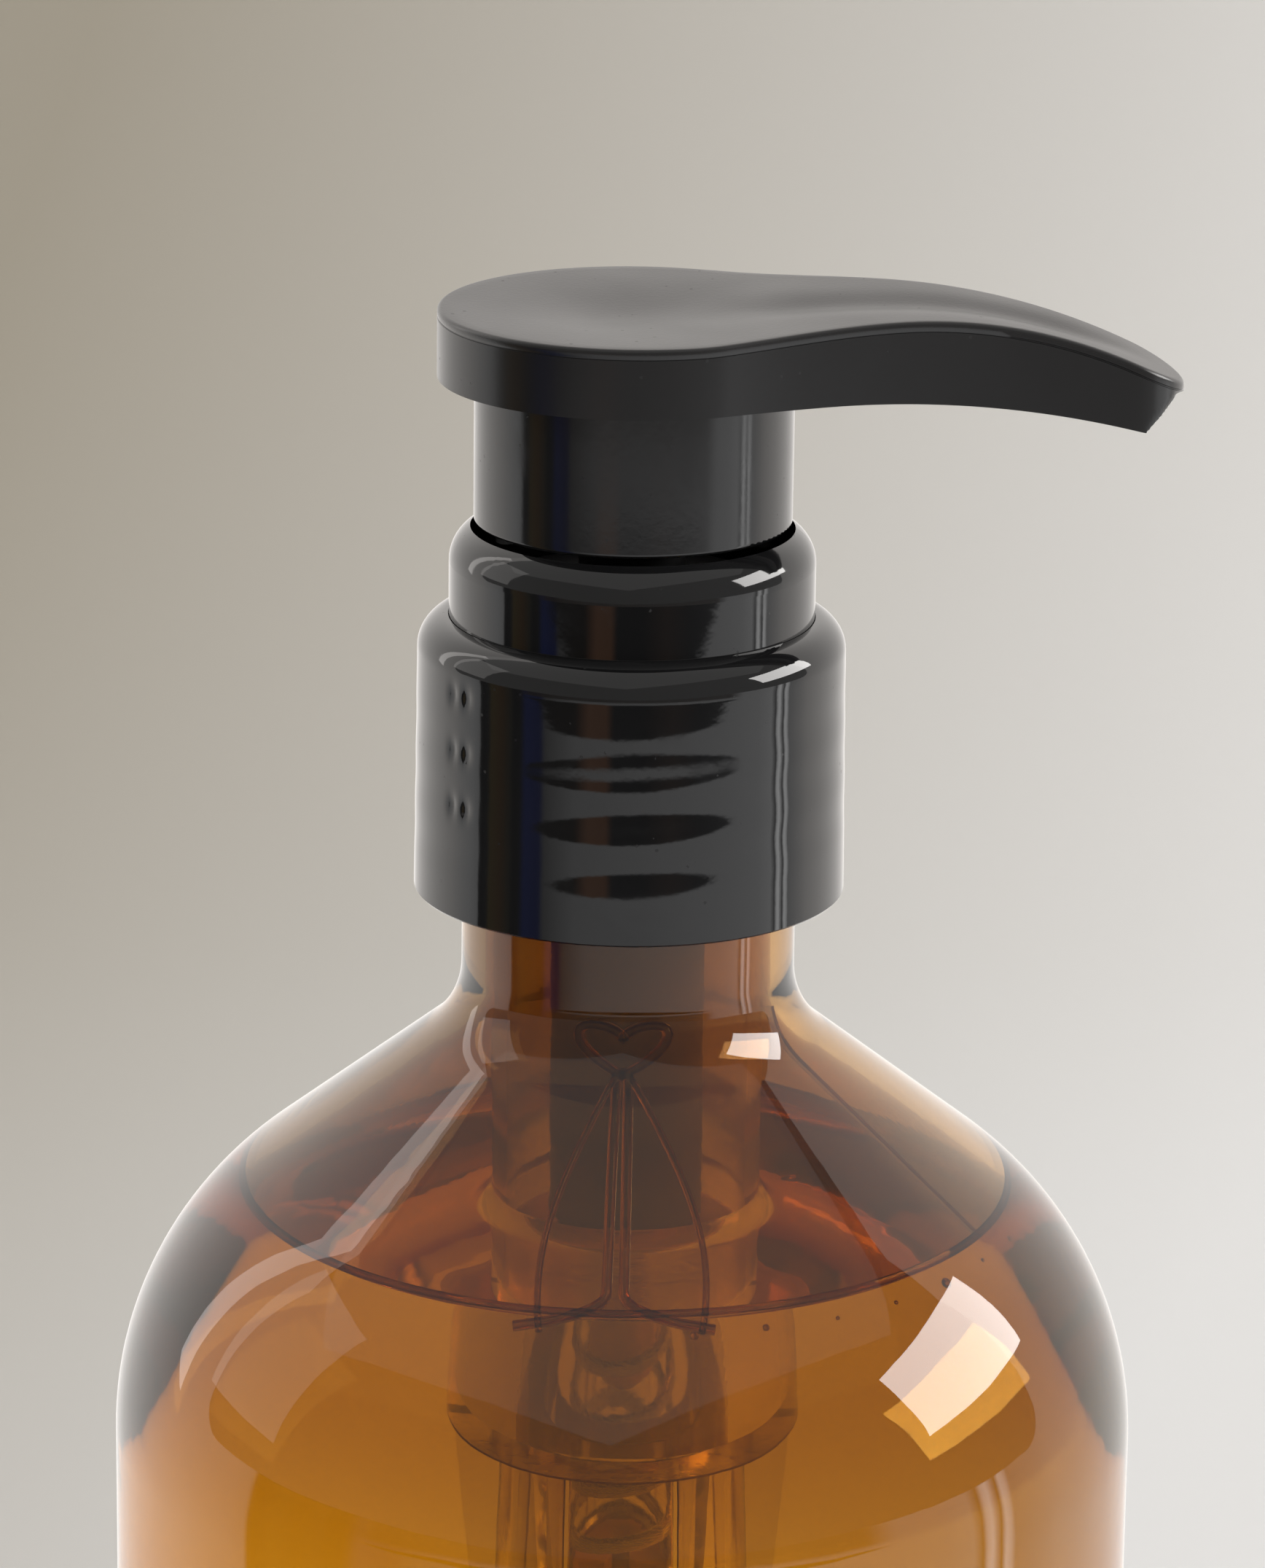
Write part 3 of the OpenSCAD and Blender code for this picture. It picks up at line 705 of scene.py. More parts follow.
class DISPENSER_OT_bottle(bpy.types.Operator):
    """Blown amber bottle with its screw thread"""

    bl_idname = "dispenser.bottle"
    bl_label = "Bottle"

    def execute(self, context):
        material = amber_material(context.scene.dispenser_bottle)
        obj = lathe("amber_bottle", bottle_profile(), 192, material)
        shape_by(obj, bpy.data.node_groups["Helix Relief"], start_height=NECK_THREAD_Z * MM,
                 pitch=PITCH * MM, turns=NECK_TURNS, depth=THREAD_DEPTH * MM,
                 root_half_width=THREAD_ROOT * MM, crest_half_width=THREAD_CREST * MM,
                 run_out_turns=0.11, wall_number=NECK_WALL, material=material)
        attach(obj, "bottle")
        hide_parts("bottle")
        return {"FINISHED"}


# ---------- The soap ----------

SOAK = 0.1  # how far the soap's skin sinks into each wall it touches, so no air shows between


def inner_radius(z):
    """Radius of the bottle's inside at a height on the shoulder."""
    return BODY_R - WALL - SHOULDER_IN_R + math.sqrt(SHOULDER_IN_R ** 2 - (z - SHOULDER_Z) ** 2)


def soap_profile(level, rise):
    """The soap's loop: floor, wall, curved edge, surface, and the hole that the pump hangs in."""
    inner_r = BODY_R - WALL + SOAK
    heel = HEEL - WALL + SOAK
    points = punt(FLOOR - SOAK, 25.2)
    points += arc(inner_r - heel, FLOOR - SOAK + heel, heel, -90, 0, 14)
    points += line((inner_r, FLOOR + heel), (inner_r, SHOULDER_Z), 24)
    top = level + rise
    reach = math.degrees(math.asin((top - SHOULDER_Z) / (SHOULDER_IN_R + SOAK)))
    points += arc(BODY_R - WALL - SHOULDER_IN_R, SHOULDER_Z, SHOULDER_IN_R + SOAK, 0, reach, 24)
    edge = points[-1][0]
    climb = [(edge - 2.4 * s, level + rise * (1 - s) ** 2.4) for s in (i / 12 for i in range(1, 13))]
    points += climb
    housing = radius_of("stem_guide") - SOAK
    points += line((edge - 2.4, level), (housing + 2.0, level), 16)
    points += [(housing + 2.0 * (1 - s), level + 0.8 * rise * s ** 3) for s in (i / 8 for i in range(1, 9))]
    points += [(housing, 97.9 + SOAK), (7 - SOAK, 97.9 + SOAK), (7 - SOAK, 79.0 + SOAK),
               (4.3 - SOAK, 79.0 + SOAK), (4.3 - SOAK, 71.5 + SOAK), (3.1 - SOAK, 71.5 + SOAK),
               (3.1 - SOAK, 11.0), (0.0, 11.0)]
    return points


def wall_point(z, angle, inset):
    """A point on the inside of the bottle, at a height and an angle, drawn in by inset."""
    cove_z = cove_height(BODY_R - WALL, SHOULDER_IN_R, BORE_R)
    out = 90 - math.degrees(SLOPE)
    crown = SHOULDER_Z + SHOULDER_IN_R * math.sin(math.radians(out))
    root_z = cove_z - COVE * math.sin(math.radians(out))
    if z <= crown:
        r = inner_radius(z)
    elif z >= cove_z:
        r = BORE_R
    elif z >= root_z:
        r = BORE_R + COVE - math.sqrt(max(0.0, COVE ** 2 - (cove_z - z) ** 2))
    else:
        r0 = inner_radius(crown)
        r = r0 - (z - crown) / math.tan(SLOPE)
    a = math.radians(angle)
    return Vector(((r - inset) * math.cos(a), (r - inset) * math.sin(a), z)) * MM


def film_paths(level):
    """The lines where a soap film clings: a loop by the neck and two strands down to the surface."""
    loop = []
    for i in range(40):
        s = 2 * math.pi * i / 40
        wide = 17.0 * math.sin(s) ** 3
        high = 132.9 + 1.75 * math.cos(s) - 0.85 * math.cos(2 * s) - 0.35 * math.cos(3 * s)
        loop.append(wall_point(high, -91.3 + wide, 0.25))
    strands = []
    for side in (-1, 1):
        strand = []
        for i in range(37):
            s = i / 36
            z = 130.8 + (level + 0.5 - 130.8) * s
            flare = 13.0 * max(0.0, (s - 0.86) / 0.14) ** 2
            strand.append(wall_point(z, -91.3 + side * (1.9 - 0.7 * s + flare), 0.2))
        strands.append(strand)
    bells = []
    for side, far in ((-1, 17.0), (1, 20.0)):
        bell = []
        for i in range(33):
            s = i / 32
            z = 131.2 + (level + 0.4 - 131.2) * s
            angle = -91.3 + side * far * (math.sin(math.pi * min(1.0, s * 0.62)) ** 0.8) * (1 - 0.35 * s)
            bell.append(wall_point(z, angle, 0.15))
        bells.append(bell)
    return loop, strands, bells


class DISPENSER_OT_soap(bpy.types.Operator):
    """Liquid soap with its curved edge, bubbles and clinging film"""

    bl_idname = "dispenser.soap"
    bl_label = "Soap"

    def execute(self, context):
        settings = context.scene.dispenser_bottle
        level = settings.level / MM
        rise = settings.meniscus / MM
        liquid = lathe("soap_liquid", soap_profile(level, rise), 160, soap_material(settings))
        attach(liquid, "bottle")

        film = film_material(settings)
        bm = bmesh.new()
        loop, strands, bells = film_paths(level)
        tube_mesh(bm, loop, 0.00042, 10, closed=True)
        for strand in strands:
            tube_mesh(bm, strand, 0.0004, 10)
        for bell in bells:
            tube_mesh(bm, bell, 0.00026, 10)
        tube_mesh(bm, [wall_point(134 - 16.2 * i / 24, -24.5, 0.1) for i in range(25)], 0.00022, 8)
        contact = [wall_point(level + rise, 360 * i / 160, 0.0) for i in range(160)]
        tube_mesh(bm, contact, 0.00032, 8, closed=True)
        rim = mesh_object("soap_film_rim", bm, film)
        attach(rim, "bottle")

        bm = bmesh.new()
        edge = inner_radius(level) - 0.7
        verts = [bm.verts.new((edge * MM * math.cos(a), edge * MM * math.sin(a), (level + 0.25) * MM))
                 for a in (math.radians(-80 + 62 * i / 30) for i in range(31))]
        for a, b in zip(verts, verts[1:]):
            bm.edges.new((a, b))
        mesh = bpy.data.meshes.new("soap_bubbles")
        bm.to_mesh(mesh)
        bm.free()
        bubbles = bpy.data.objects.new("soap_bubbles", mesh)
        bpy.context.scene.collection.objects.link(bubbles)
        shape_by(bubbles, bpy.data.node_groups["Bubble Row"], count=settings.bubbles,
                 smallest_radius=0.00014, largest_radius=0.00042, scatter=0.0003, seed=7, material=film)
        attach(bubbles, "bottle")
        return {"FINISHED"}


# ---------- The closure ----------


def closure_profile():
    """The closure's loop, with wall numbers on its skin and on its bore."""
    top_r = CAP_R - CAP_TAPER
    edge_z = CAP_TOP - CAP_EDGE
    skin = [(r, z, SKIN_WALL) for r, z in line((CAP_R, CAP_FOOT + 0.15), (top_r, edge_z), 64)]
    reach = math.degrees(math.acos((COLLAR_SEAT - (top_r - CAP_EDGE)) / CAP_EDGE))
    edge = arc(top_r - CAP_EDGE, edge_z, CAP_EDGE, 0, reach, 14)
    lip = [(COLLAR_SEAT, edge[-1][1]), (COLLAR_SEAT, LIP_TOP), (LIP_HOLE, LIP_TOP), (LIP_HOLE, LIP_FOOT)]
    bore = [(r, z, BORE_WALL) for r, z in line((CAP_BORE, LIP_FOOT), (CAP_BORE, CAP_FOOT + 0.3), 62)]
    foot = [(CAP_BORE + 0.3, CAP_FOOT), (CAP_R - 0.15, CAP_FOOT)]
    return skin + edge + lip + bore + foot


def press_dents(obj, dents, depth, wide, tall):
    """Presses small round dents into the skin at (angle, height) in degrees and millimetres."""
    for v in obj.data.vertices:
        r = math.hypot(v.co.x, v.co.y)
        if r < (CAP_R - 1) * MM:
            continue
        angle = math.degrees(math.atan2(v.co.y, v.co.x))
        sunk = 0.0
        for a, z in dents:
            across = (angle - a) * math.pi / 180 * r / (wide * MM)
            up = (v.co.z - z * MM) / (tall * MM)
            sunk += math.exp(-(across * across + up * up))
        scale = 1 - depth * MM * sunk / r
        v.co.x *= scale
        v.co.y *= scale


class DISPENSER_OT_closure(bpy.types.Operator):
    """Screw closure whose skin sinks a little over its thread"""

    bl_idname = "dispenser.closure"
    bl_label = "Closure"

    def execute(self, context):
        settings = context.scene.dispenser_pump
        material = bpy.data.materials.get("gloss_black") or gloss_black_material(settings)
        relief = bpy.data.node_groups["Helix Relief"]
        obj = lathe("closure_shell", closure_profile(), 288, material)
        shape_by(obj, relief, start_height=CAP_THREAD_Z * MM, pitch=PITCH * MM, turns=CAP_TURNS,
                 depth=-THREAD_DEPTH * MM, root_half_width=THREAD_ROOT * MM,
                 crest_half_width=THREAD_CREST * MM, run_out_turns=0.11, wall_number=BORE_WALL,
                 material=material)
        shape_by(obj, relief, start_height=(CAP_FOOT + 2.5) * MM, pitch=PITCH * MM, turns=3.6,
                 depth=-settings.sink, root_half_width=PITCH * 0.5 * MM, crest_half_width=0.0,
                 run_out_turns=0.3, wall_number=SKIN_WALL, material=material)
        dents = [(side - 141.8, 159.4 - row * PITCH) for row in range(3) for side in (-2.95, 2.95)]
        press_dents(obj, dents, 0.2, 0.45, 0.8)
        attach(obj, "closure")
        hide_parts("closure_cap")
        return {"FINISHED"}


# ---------- The head ----------


def head_outline():
    """The head's plan as (point, outward normal) pairs, from the front's blend round the back."""
    bx = (TIP_X ** 2 + (BLEND_R + HEAD_R) ** 2 - (BLEND_R + TIP_R) ** 2) / (2 * TIP_X)
    by = math.sqrt((BLEND_R + HEAD_R) ** 2 - bx * bx)
    a = math.degrees(math.atan2(by, bx))
    b = math.degrees(math.atan2(by, bx - TIP_X))
    found = []

    def run(centre, radius, start, end, steps, sign):
        for i in range(steps):
            t = math.radians(start + (end - start) * i / steps)
            n = Vector((math.cos(t), math.sin(t)))
            found.append((Vector(centre) + n * radius, n * sign))

    run((0, 0), HEAD_R, a, 360 - a, 112, 1)
    run((bx, -by), BLEND_R, 180 - a, 180 - b, 40, -1)
    run((TIP_X, 0), TIP_R, -b, b, 40, 1)
    run((bx, by), BLEND_R, 180 + b, 180 + a, 40, -1)
    return found


def ease(x, low, high):
    """A smooth step from 0 at low to 1 at high."""
    t = min(1.0, max(0.0, (x - low) / (high - low)))
    return t * t * (3 - 2 * t)


def ridge_line(x):
    """Height of the head's top along its middle."""
    if x >= HUMP_X:
        return HEAD_TOP + HUMP_H - HUMP_R + math.sqrt(HUMP_R ** 2 - (x - HUMP_X) ** 2)
    return HEAD_TOP + HUMP_H * ease(x, 4.0, HUMP_X)


def head_top(x, y, settings):
    """Height of the head's top: its ridge line, less the finger dish and the groove."""
    z = ridge_line(x)
    round_part = math.exp(-((x + 0.5) ** 2 + (y * 1.05) ** 2) / 62.0)
    z -= settings.dish / MM * round_part
    along = ease(x, 4.0, 13.0) * (1 - ease(x, 30.0, 39.0))
    z -= settings.groove / MM * along * math.exp(-(y / (3.4 - 0.045 * x)) ** 2)
    return z


def head_foot(x):
    """Height of the head's lower edge."""
    if x <= BELLY_X:
        return HEAD_Z
    return HEAD_Z - BELLY_R + math.sqrt(BELLY_R ** 2 - (x - BELLY_X) ** 2)


def end_plane(z, back):
    """How far out the spout's leaning end face lies at a height."""
    lip = ridge_line(SPOUT_X) - 0.85
    return SPOUT_X - 0.75 - back - max(0.0, lip - z) * END_LEAN


def head_mesh(settings):
    """The head as one closed shell: top, crisp edge, sides, rim, inside walls and ceiling."""
    bm = bmesh.new()
    satin = bm.verts.layers.float.new("satin")
    outline = head_outline()

    def spine(p):
        return Vector((min(max(p.x, 0.0), TIP_X), 0.0))

    def top_ring(share, inset, drop, satin_value):
        ring = []
        for p, n in outline:
            q = p - n * inset
            s = spine(p)
            q = s + (q - s) * share
            v = bm.verts.new((q.x * MM, q.y * MM, (head_top(q.x, q.y, settings) - drop) * MM))
            v[satin] = satin_value
            ring.append(v)
        return ring

    def side_ring(inset, share, back):
        """share runs from 0 just under the edge to 1 at the foot."""
        ring = []
        for p, n in outline:
            q = p - n * inset
            high = head_top(p.x, p.y, settings) - 0.8
            z = high + (head_foot(q.x) - high) * share
            x = min(q.x, end_plane(z, back)) if share > 0 or back else q.x
            z = high + (head_foot(x) - high) * share
            ring.append(bm.verts.new((x * MM, q.y * MM, z * MM)))
        return ring

    def ceiling_ring(share):
        ring = []
        for p, n in outline:
            q = p - n * HEAD_WALL
            s = spine(p)
            q = s + (q - s) * share
            z = min(CEILING, head_top(q.x, q.y, settings) - HEAD_WALL)
            x = min(q.x, end_plane(z, HEAD_WALL))
            ring.append(bm.verts.new((x * MM, q.y * MM, z * MM)))
        return ring

    rings = [top_ring(i / 16, 0.3, 0.0, 1.0) for i in range(17)]
    rings += [top_ring(1, 0.3 * (1 - math.sin(t)), 0.3 * (1 - math.cos(t)), 0.8 - 0.5 * math.sin(t))
              for t in (math.pi / 2 * i / 4 for i in range(1, 5))]
    rings += [top_ring(1, 0.0, 0.62, 0.0), top_ring(1, 0.06, 0.70, 0.0), top_ring(1, 0.06, 0.76, 0.0)]
    rings += [side_ring(0.0, i / 12, 0.0) for i in range(13)]
    rings += [side_ring(0.15, 1.0, 0.15), side_ring(HEAD_WALL, 1.0, HEAD_WALL)]
    rings += [side_ring(HEAD_WALL, 1 - i / 6, HEAD_WALL) for i in range(1, 6)]
    rings += [ceiling_ring(1 - i / 10) for i in range(11)]
    count = len(outline)
    for low, high in zip(rings, rings[1:]):
        for j in range(count):
            k = (j + 1) % count
            bm.faces.new((low[j], low[k], high[k], high[j]))
    bmesh.ops.remove_doubles(bm, verts=bm.verts, dist=2e-6)
    bmesh.ops.dissolve_degenerate(bm, dist=1e-6, edges=bm.edges)
    return bm


class DISPENSER_OT_head(bpy.types.Operator):
    """Pump head with its dished top and long spout"""

    bl_idname = "dispenser.head"
    bl_label = "Head"

    def execute(self, context):
        settings = context.scene.dispenser_pump
        material = head_material(settings)
        bm = head_mesh(settings)
        add_lathe(bm, [(BOSS_R, BOSS_FOOT), (BOSS_R, CEILING + 0.1), (BOSS_BORE, CEILING + 0.1),
                       (BOSS_BORE, BOSS_FOOT)], 72)
        obj = mesh_object("pump_head", bm, material)
        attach(obj, "actuator")
        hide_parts("actuator_head")
        return {"FINISHED"}


# ---------- The pump's other parts ----------


class DISPENSER_OT_pump(bpy.types.Operator):
    """Finishes for the collar, the sleeve and the parts inside"""

    bl_idname = "dispenser.pump"
    bl_label = "Pump Finishes"

    def execute(self, context):
        settings = context.scene.dispenser_pump
        gloss = bpy.data.materials.get("gloss_black") or gloss_black_material(settings)
        mould = mould_black_material(settings)
        seal = seal_material()
        steel = steel_material()
        finishes = {
            "lock_collar": gloss,
            "actuator_sleeve": sleeve_material(settings),
            "stem_guide": mould,
            "spout_tube": mould,
            "pump_stem": mould,
            "pump_housing": natural_material("natural_housing", settings.natural, 0.92, 0.07),
            "dip_tube": natural_material("dip_plastic", shade(settings.natural, 0.97), 0.75, 0.2),
            "valve_rod": natural_material("rod_plastic", shade(settings.natural, 0.9), 0.3, 0.3),
            "piston": seal,
            "ball_cage": seal,
            "neck_gasket": gasket_material(),
            "return_spring": steel,
            "inlet_ball": steel,
        }
        for node, material in finishes.items():
            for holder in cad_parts[node].material_slots:
                holder.material = material
        return {"FINISHED"}


# ---------- Stage, light and camera ----------

# Distances from the axis, in metres, of the dark and the dim part of the painted room in front, which the
# paper emits only to glossy rays as painted reflections
PAINTED_DARK_NEAR = 0.535
PAINTED_DARK_FAR = 0.665
PAINTED_DIM_FROM = 0.70
SWEEP_Y = 0.42
SWEEP_R = 0.3
AIM = Vector((0.0002, 0.0, 0.150))
DISTANCE = 0.500
PITCH_DOWN = math.radians(16.4)
ROLL = math.radians(0.7)


def sweep_object(material):
    """Seamless floor and backdrop."""
    bm = bmesh.new()
    profile = [(-1.8, 0.0), (-0.6, 0.0), (0.0, 0.0)]
    profile += [(SWEEP_Y + SWEEP_R * math.sin(t), SWEEP_R * (1 - math.cos(t)))
                for t in (math.pi / 2 * i / 24 for i in range(25))]
    profile += [(SWEEP_Y + SWEEP_R, 1.0), (SWEEP_Y + SWEEP_R, 1.9)]
    rows = [[bm.verts.new((x, y, z)) for x in (-2.4, -0.8, 0.8, 2.4)] for y, z in profile]
    for low, high in zip(rows, rows[1:]):
        for j in range(3):
            bm.faces.new((low[j], low[j + 1], high[j + 1], high[j]))
    mesh = bpy.data.meshes.new("studio_sweep")
    bm.to_mesh(mesh)
    bm.free()
    mesh.shade_smooth()
    mesh.materials.append(material)
    obj = bpy.data.objects.new("studio_sweep", mesh)
    bpy.context.scene.collection.objects.link(obj)
    return obj


def ramp(tree, value, stops):
    """A colour ramp from (place, grey or colour) stops."""
    n = tree.nodes.new("ShaderNodeValToRGB")
    put(tree, n.inputs[0], value)
    elements = n.color_ramp.elements
    while len(elements) > 1:
        elements.remove(elements[-1])
    for i, (place, colour) in enumerate(stops):
        e = elements[0] if i == 0 else elements.new(place)
        e.position = place
        c = colour if isinstance(colour, tuple) else (colour,) * 3
        e.color = (*c, 1.0)
    return n.outputs[0]


def sweep_material(settings):
    """Pale paper with painted shade, and a painted room that polished surfaces see in its place as painted
    reflections.
    """
    p = Paint("studio_paper", 0.9)
    x, y, _ = p.node("ShaderNodeSeparateXYZ", Vector=p.place).outputs
    # painted shade: the paper's own colour runs from the darker left colour to the paler right one, darker
    # towards the left and towards the back, away from the window
    sideways = p.math("ADD", p.math("MULTIPLY", x, 3.6), 0.56)
    share = p.math("ADD", sideways, p.math("MULTIPLY", p.math("SUBTRACT", 0.45, y), 1.2), clamp=True)
    grain = p.group("Moulded Grain", Scale=700.0, Roughness=0.9, Spread=0.05, Wave=0.2)
    plain = p.mix(share, rgba(settings.paper_left), rgba(settings.paper_right))

    # painted reflections: a made-up room round the axis, with dark bands, brown and blue patches and bright
    # strips of painted highlight, shown only to glossy rays
    angle = p.math("ADD", p.math("DIVIDE", p.math(
        "ARCTAN2", x, p.math("MULTIPLY", y, -1.0)), 2 * math.pi), 0.5)
    painted_room_around = ramp(p.tree, angle, [
        (0.0, (1.25, 1.2, 1.15)), (0.20, (1.3, 1.25, 1.2)), (0.245, 1.1), (0.258, 0.95),
        (0.262, 0.03), (0.276, 0.05),
        (0.282, (0.22, 0.16, 0.06)), (0.300, (0.20, 0.11, 0.04)), (0.316, (0.10, 0.09, 0.06)), (0.322, 0.03),
        (0.334, 0.04), (0.342, (0.05, 0.08, 0.34)), (0.366, (0.04, 0.06, 0.26)), (0.374, 0.35),
        (0.42, 0.80), (0.5, 0.95), (0.62, 1.15), (0.70, 1.3), (0.724, 1.5), (0.729, 0.3), (0.732, 0.3),
        (0.735, 3.4), (0.741, 3.4), (0.743, 0.1), (0.746, 0.1), (0.748, 3.2), (0.753, 3.0), (0.757, 0.9),
        (0.80, (1.3, 1.25, 1.2)), (1.0, (1.25, 1.2, 1.15))])
    away = p.math("SQRT", p.math("ADD", p.math("MULTIPLY", x, x), p.math("MULTIPLY", y, y)))
    turn = p.math("DIVIDE", p.math("SUBTRACT", angle, 0.503), 0.15)
    near = p.math("ADD", PAINTED_DARK_NEAR, p.math("MULTIPLY", p.math("MULTIPLY", turn, turn), 0.10))
    into = p.math("MULTIPLY", p.math("SUBTRACT", away, near), 45.0, clamp=True)
    out_of = p.math("SUBTRACT", 1.0, p.math("MULTIPLY", p.math("SUBTRACT", away, PAINTED_DARK_FAR), 30.0, clamp=True))
    far = p.math("MULTIPLY", p.math("SUBTRACT", away, PAINTED_DIM_FROM), 7.0, clamp=True)
    front = ramp(p.tree, angle, [(0.33, 0.0), (0.35, 1.0), (0.65, 1.0), (0.67, 0.0)])
    painted_dark_patch = p.mix(p.math("MULTIPLY", p.math("MULTIPLY", into, out_of), front), painted_room_around, ramp(p.tree, angle, [
        (0.34, 0.03), (0.42, (0.05, 0.04, 0.03)), (0.44, (0.5, 0.25, 0.14)), (0.465, (0.45, 0.22, 0.12)),
        (0.475, 0.05), (0.52, 0.03), (0.56, (0.12, 0.08, 0.06)), (0.60, 0.05), (0.66, 0.1)]))
    painted_room_reflection = p.mix(p.math("MULTIPLY", p.math("MULTIPLY", far, front), 0.85), painted_dark_patch, (0.12, 0.09, 0.07, 1))
    # Rays that pass through the bottle count as glossy too, and have to see the plain paper with its painted
    # shade, not the painted reflections
    rays = p.node("ShaderNodeLightPath").outputs
    shows_painted_room = p.math("SUBTRACT", rays["Is Glossy Ray"], rays["Is Transmission Ray"], clamp=True)
    # the paper glows with the painted room for glossy rays only, though it is no lamp
    p.set("Emission Color", painted_room_reflection)
    p.set("Emission Strength", shows_painted_room)
    p.set("Base Color", p.mix(shows_painted_room, plain, (0.0, 0.0, 0.0, 1)))
    p.set("Roughness", grain.outputs["Roughness"])
    p.set("Specular IOR Level", 0.1)
    return p.material


def area_light(name, place, aim, width, height, power, colour):
    """A soft rectangular lamp that faces a point."""
    data = bpy.data.lights.new(name, "AREA")
    data.shape = "RECTANGLE"
    data.size, data.size_y = width, height
    data.energy = power
    data.color = colour
    obj = bpy.data.objects.new(name, data)
    obj.location = place
    obj.rotation_euler = (Vector(aim) - Vector(place)).to_track_quat("-Z", "Y").to_euler()
    bpy.context.scene.collection.objects.link(obj)
    return obj


def add_camera():
    """The camera, a little rolled, looking down at the pump."""
    forward = Vector((0, math.cos(PITCH_DOWN), -math.sin(PITCH_DOWN)))
    up = Vector((0, math.sin(PITCH_DOWN), math.cos(PITCH_DOWN)))
    right = Vector((1, 0, 0))
    turned = right * math.cos(ROLL) + up * math.sin(ROLL)
    upright = up * math.cos(ROLL) - right * math.sin(ROLL)
    data = bpy.data.cameras.new("camera")
    data.sensor_fit = "VERTICAL"
    data.sensor_height = 36.0
    data.lens = 152.9
    data.clip_start = 0.01
    camera = bpy.data.objects.new("camera", data)
    rotation = Matrix((turned, upright, -forward)).transposed()
    camera.matrix_world = Matrix.Translation(AIM - forward * DISTANCE) @ rotation.to_4x4()
    bpy.context.scene.collection.objects.link(camera)
    bpy.context.scene.camera = camera


class DISPENSER_OT_stage(bpy.types.Operator):
    """Pale floor, soft studio light and the camera"""

    bl_idname = "dispenser.stage"
    bl_label = "Stage"

    def execute(self, context):
        scene = context.scene
        settings = scene.dispenser_stage
        sweep_object(sweep_material(settings))
        aim = (0, 0, 0.13)
        area_light("window", (0.95, 0.06, 0.56), aim, 0.72, 0.38, settings.window, (1.0, 0.98, 0.96))
        area_light("ceiling", (-0.1, -0.1, 1.45), aim, 2.6, 2.6, settings.ceiling, (1.0, 0.99, 0.97))
        area_light("left_wall", (-1.0, 0.1, 0.55), aim, 0.5, 0.7, settings.left_wall, (1.0, 0.97, 0.94))
        area_light("left_strip", (-0.95, 0.55, 0.55), aim, 0.12, 1.1, settings.left_strip, (1.0, 0.96, 0.93))
        world = bpy.data.worlds.new("studio_air")
        world.use_nodes = True
        world.node_tree.nodes["Background"].inputs[0].default_value = rgba(settings.air)
        world.node_tree.nodes["Background"].inputs[1].default_value = settings.air_strength
        scene.world = world
        scene.view_settings.view_transform = "Standard"
        scene.cycles.max_bounces = 18
        scene.cycles.transmission_bounces = 16
        scene.cycles.glossy_bounces = 8
        scene.cycles.transparent_max_bounces = 24
        add_camera()
        return {"FINISHED"}


# ---------- Settings, panel and registration ----------


def colour_setting(name, description, default):
    return bpy.props.FloatVectorProperty(
        name=name, description=description, subtype="COLOR", default=default, min=0, max=1)


def length_setting(name, description, default, low, high, precision):
    return bpy.props.FloatProperty(
        name=name, description=description, subtype="DISTANCE", unit="LENGTH",
        default=default, min=low, max=high, precision=precision)


def power_setting(name, description, default):
    return bpy.props.FloatProperty(
        name=name, description=description, unit="POWER", default=default, min=0, max=500)


class DispenserBottleSettings(bpy.types.PropertyGroup):
    """Sizes and colours of the bottle and its soap."""

    amber: colour_setting("Amber", "Colour that the thick shoulder wall lets through", (0.56, 0.30, 0.095))
    amber_thin: colour_setting(
        "Thin Amber", "Colour that the thin body wall lets through", (0.86, 0.56, 0.16))
    soap: colour_setting("Soap", "Colour that the soap lets through", (1.0, 0.93, 0.22))
    film: colour_setting("Film", "Colour of the film's rim", (0.62, 0.42, 0.16))
    level: length_setting("Level", "Height of the soap's surface", 0.1165, 0.105, 0.118, 4)
    meniscus: length_setting("Meniscus", "How far the soap climbs the wall", 0.0015, 0.0002, 0.003, 4)
    bubbles: bpy.props.IntProperty(
        name="Bubbles", description="Number of bubbles on the soap's edge", default=7, min=1, max=40)


class DispenserPumpSettings(bpy.types.PropertyGroup):
    """Sizes and colours of the pump."""

    black: colour_setting("Black", "Colour of the black mouldings", (0.008, 0.008, 0.0085))
    satin: colour_setting("Satin", "Colour of the head's satin top", (0.022, 0.020, 0.020))
    natural: colour_setting("Natural", "Tint of the unpigmented mouldings", (0.97, 0.95, 0.88))
    gloss: bpy.props.FloatProperty(
        name="Gloss Roughness", description="Roughness of the polished closure and collar",
        default=0.03, min=0, max=1)
    satin_rough: bpy.props.FloatProperty(
        name="Satin Roughness", description="Roughness of the head's top", default=0.36, min=0, max=1)
    sink: length_setting("Sink", "Depth of the closure's sink marks", 0.00003, 0, 0.0003, 6)
    dish: length_setting("Dish", "Depth of the finger dish", 0.00085, 0, 0.001, 5)
    groove: length_setting("Groove", "Depth of the groove along the spout", 0.00045, 0, 0.001, 5)


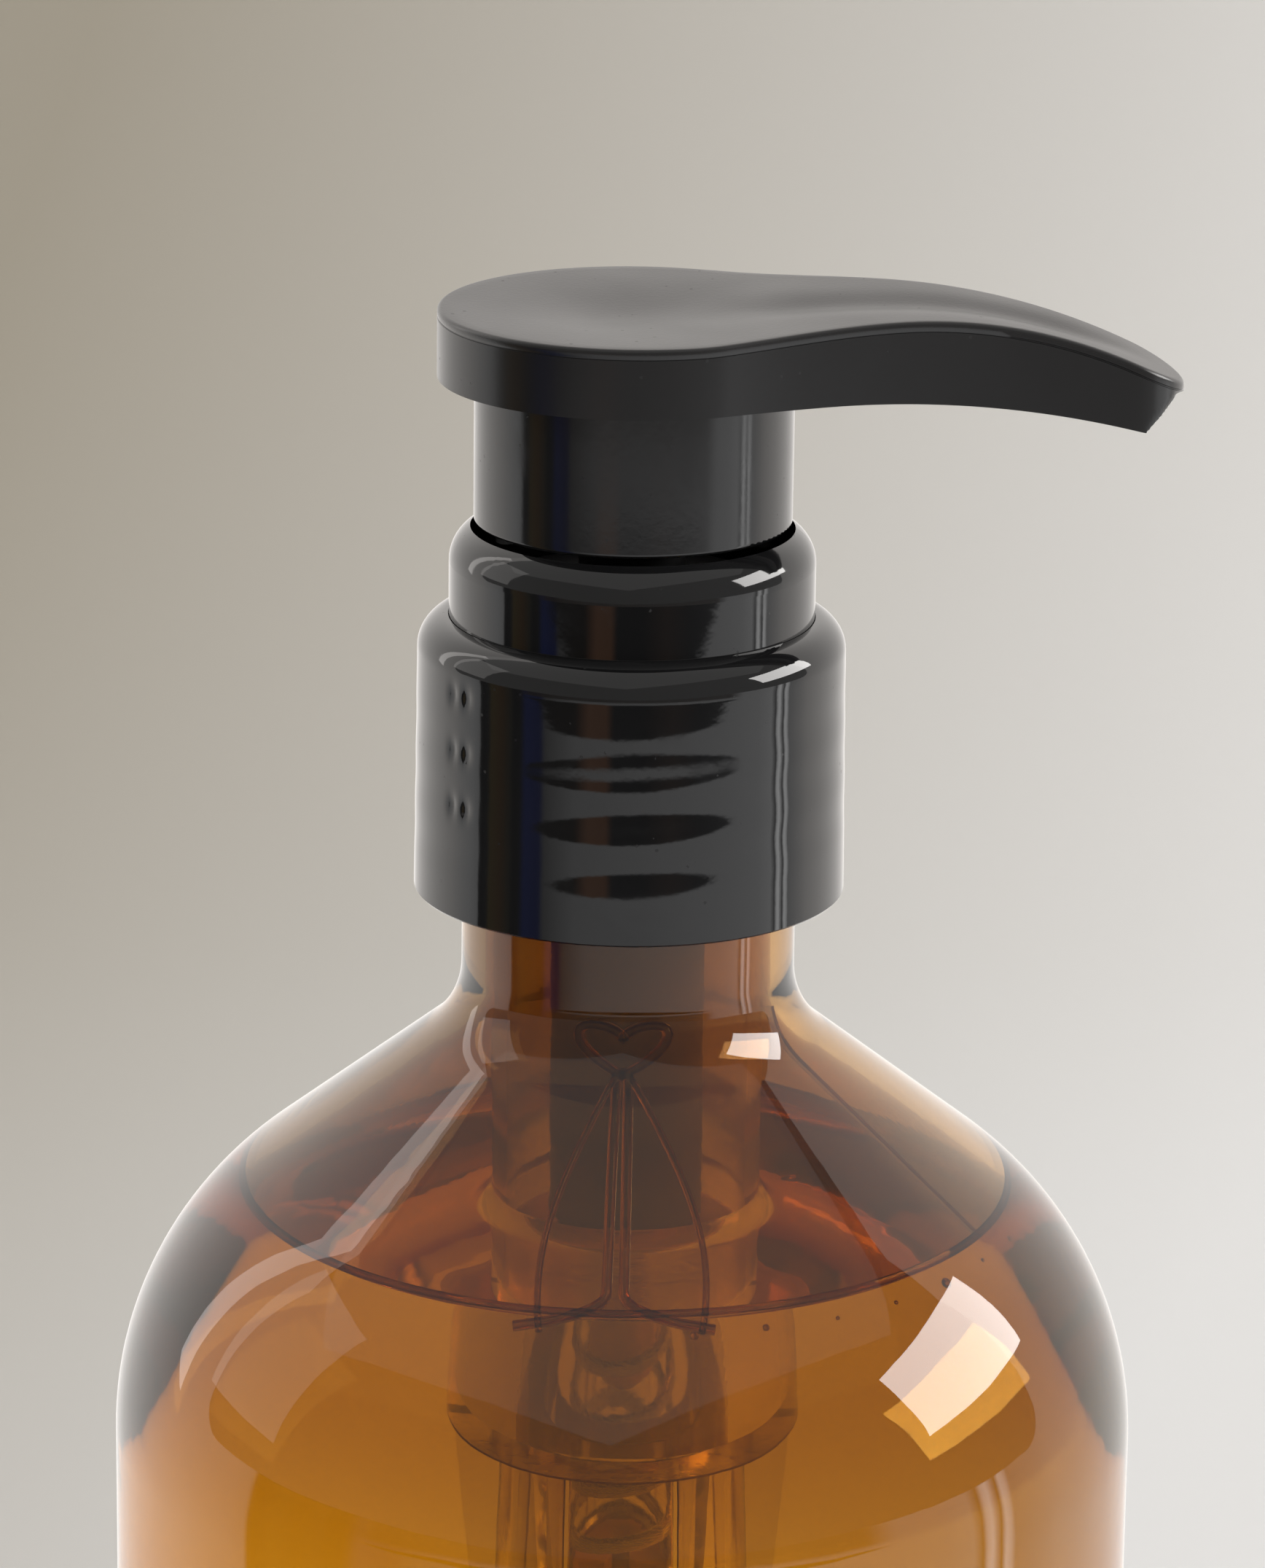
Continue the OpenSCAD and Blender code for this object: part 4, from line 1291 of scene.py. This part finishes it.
class DispenserStageSettings(bpy.types.PropertyGroup):
    """Light and colours of the stage."""

    # painted shade: the left colour is the paper darkened where it lies away from the window
    paper_left: colour_setting("Paper Left", "Colour of the paper on the left", (0.42, 0.385, 0.32))
    paper_right: colour_setting("Paper Right", "Colour of the paper on the right", (0.80, 0.80, 0.80))
    air: colour_setting("Air", "Colour of the light from all round", (1.0, 0.98, 0.95))
    air_strength: bpy.props.FloatProperty(
        name="Air Strength", description="Strength of the light from all round", default=0.36, min=0, max=10)
    window: power_setting("Window", "Power of the lamp on the right", 9.0)
    ceiling: power_setting("Ceiling", "Power of the lamp above", 7.0)
    left_wall: power_setting("Left Wall", "Power of the lamp on the left", 1.0)
    left_strip: power_setting("Left Strip", "Power of the narrow lamp behind on the left", 0.8)


class DISPENSER_PT_panel(bpy.types.Panel):
    """Lists the pieces and their settings"""

    bl_idname = "DISPENSER_PT_panel"
    bl_label = "Soap Pump Dispenser"
    bl_space_type = "VIEW_3D"
    bl_region_type = "UI"
    bl_category = "Dispenser"

    def draw(self, context):
        layout = self.layout
        for operator in OPERATORS:
            layout.operator(operator.bl_idname)
        for name in SETTINGS:
            box = layout.box()
            group = getattr(context.scene, name)
            for key in group.__annotations__:
                box.prop(group, key)


SETTINGS = {
    "dispenser_bottle": DispenserBottleSettings,
    "dispenser_pump": DispenserPumpSettings,
    "dispenser_stage": DispenserStageSettings,
}
OPERATORS = (DISPENSER_OT_stage, DISPENSER_OT_bottle, DISPENSER_OT_soap,
             DISPENSER_OT_closure, DISPENSER_OT_head, DISPENSER_OT_pump)
CLASSES = (*SETTINGS.values(), *OPERATORS, DISPENSER_PT_panel)


def register():
    for cls in CLASSES:
        bpy.utils.register_class(cls)
    for name, cls in SETTINGS.items():
        setattr(bpy.types.Scene, name, bpy.props.PointerProperty(type=cls))


def unregister():
    for name in SETTINGS:
        delattr(bpy.types.Scene, name)
    for cls in reversed(CLASSES):
        bpy.utils.unregister_class(cls)


def main():
    register()
    helix_relief_tree()
    bubble_row_tree()
    moulded_grain_group()
    handling_group()
    colour_drift_group()
    bpy.ops.dispenser.stage()
    bpy.ops.dispenser.bottle()
    bpy.ops.dispenser.soap()
    bpy.ops.dispenser.closure()
    bpy.ops.dispenser.head()
    bpy.ops.dispenser.pump()


if __name__ == "__main__":
    main()
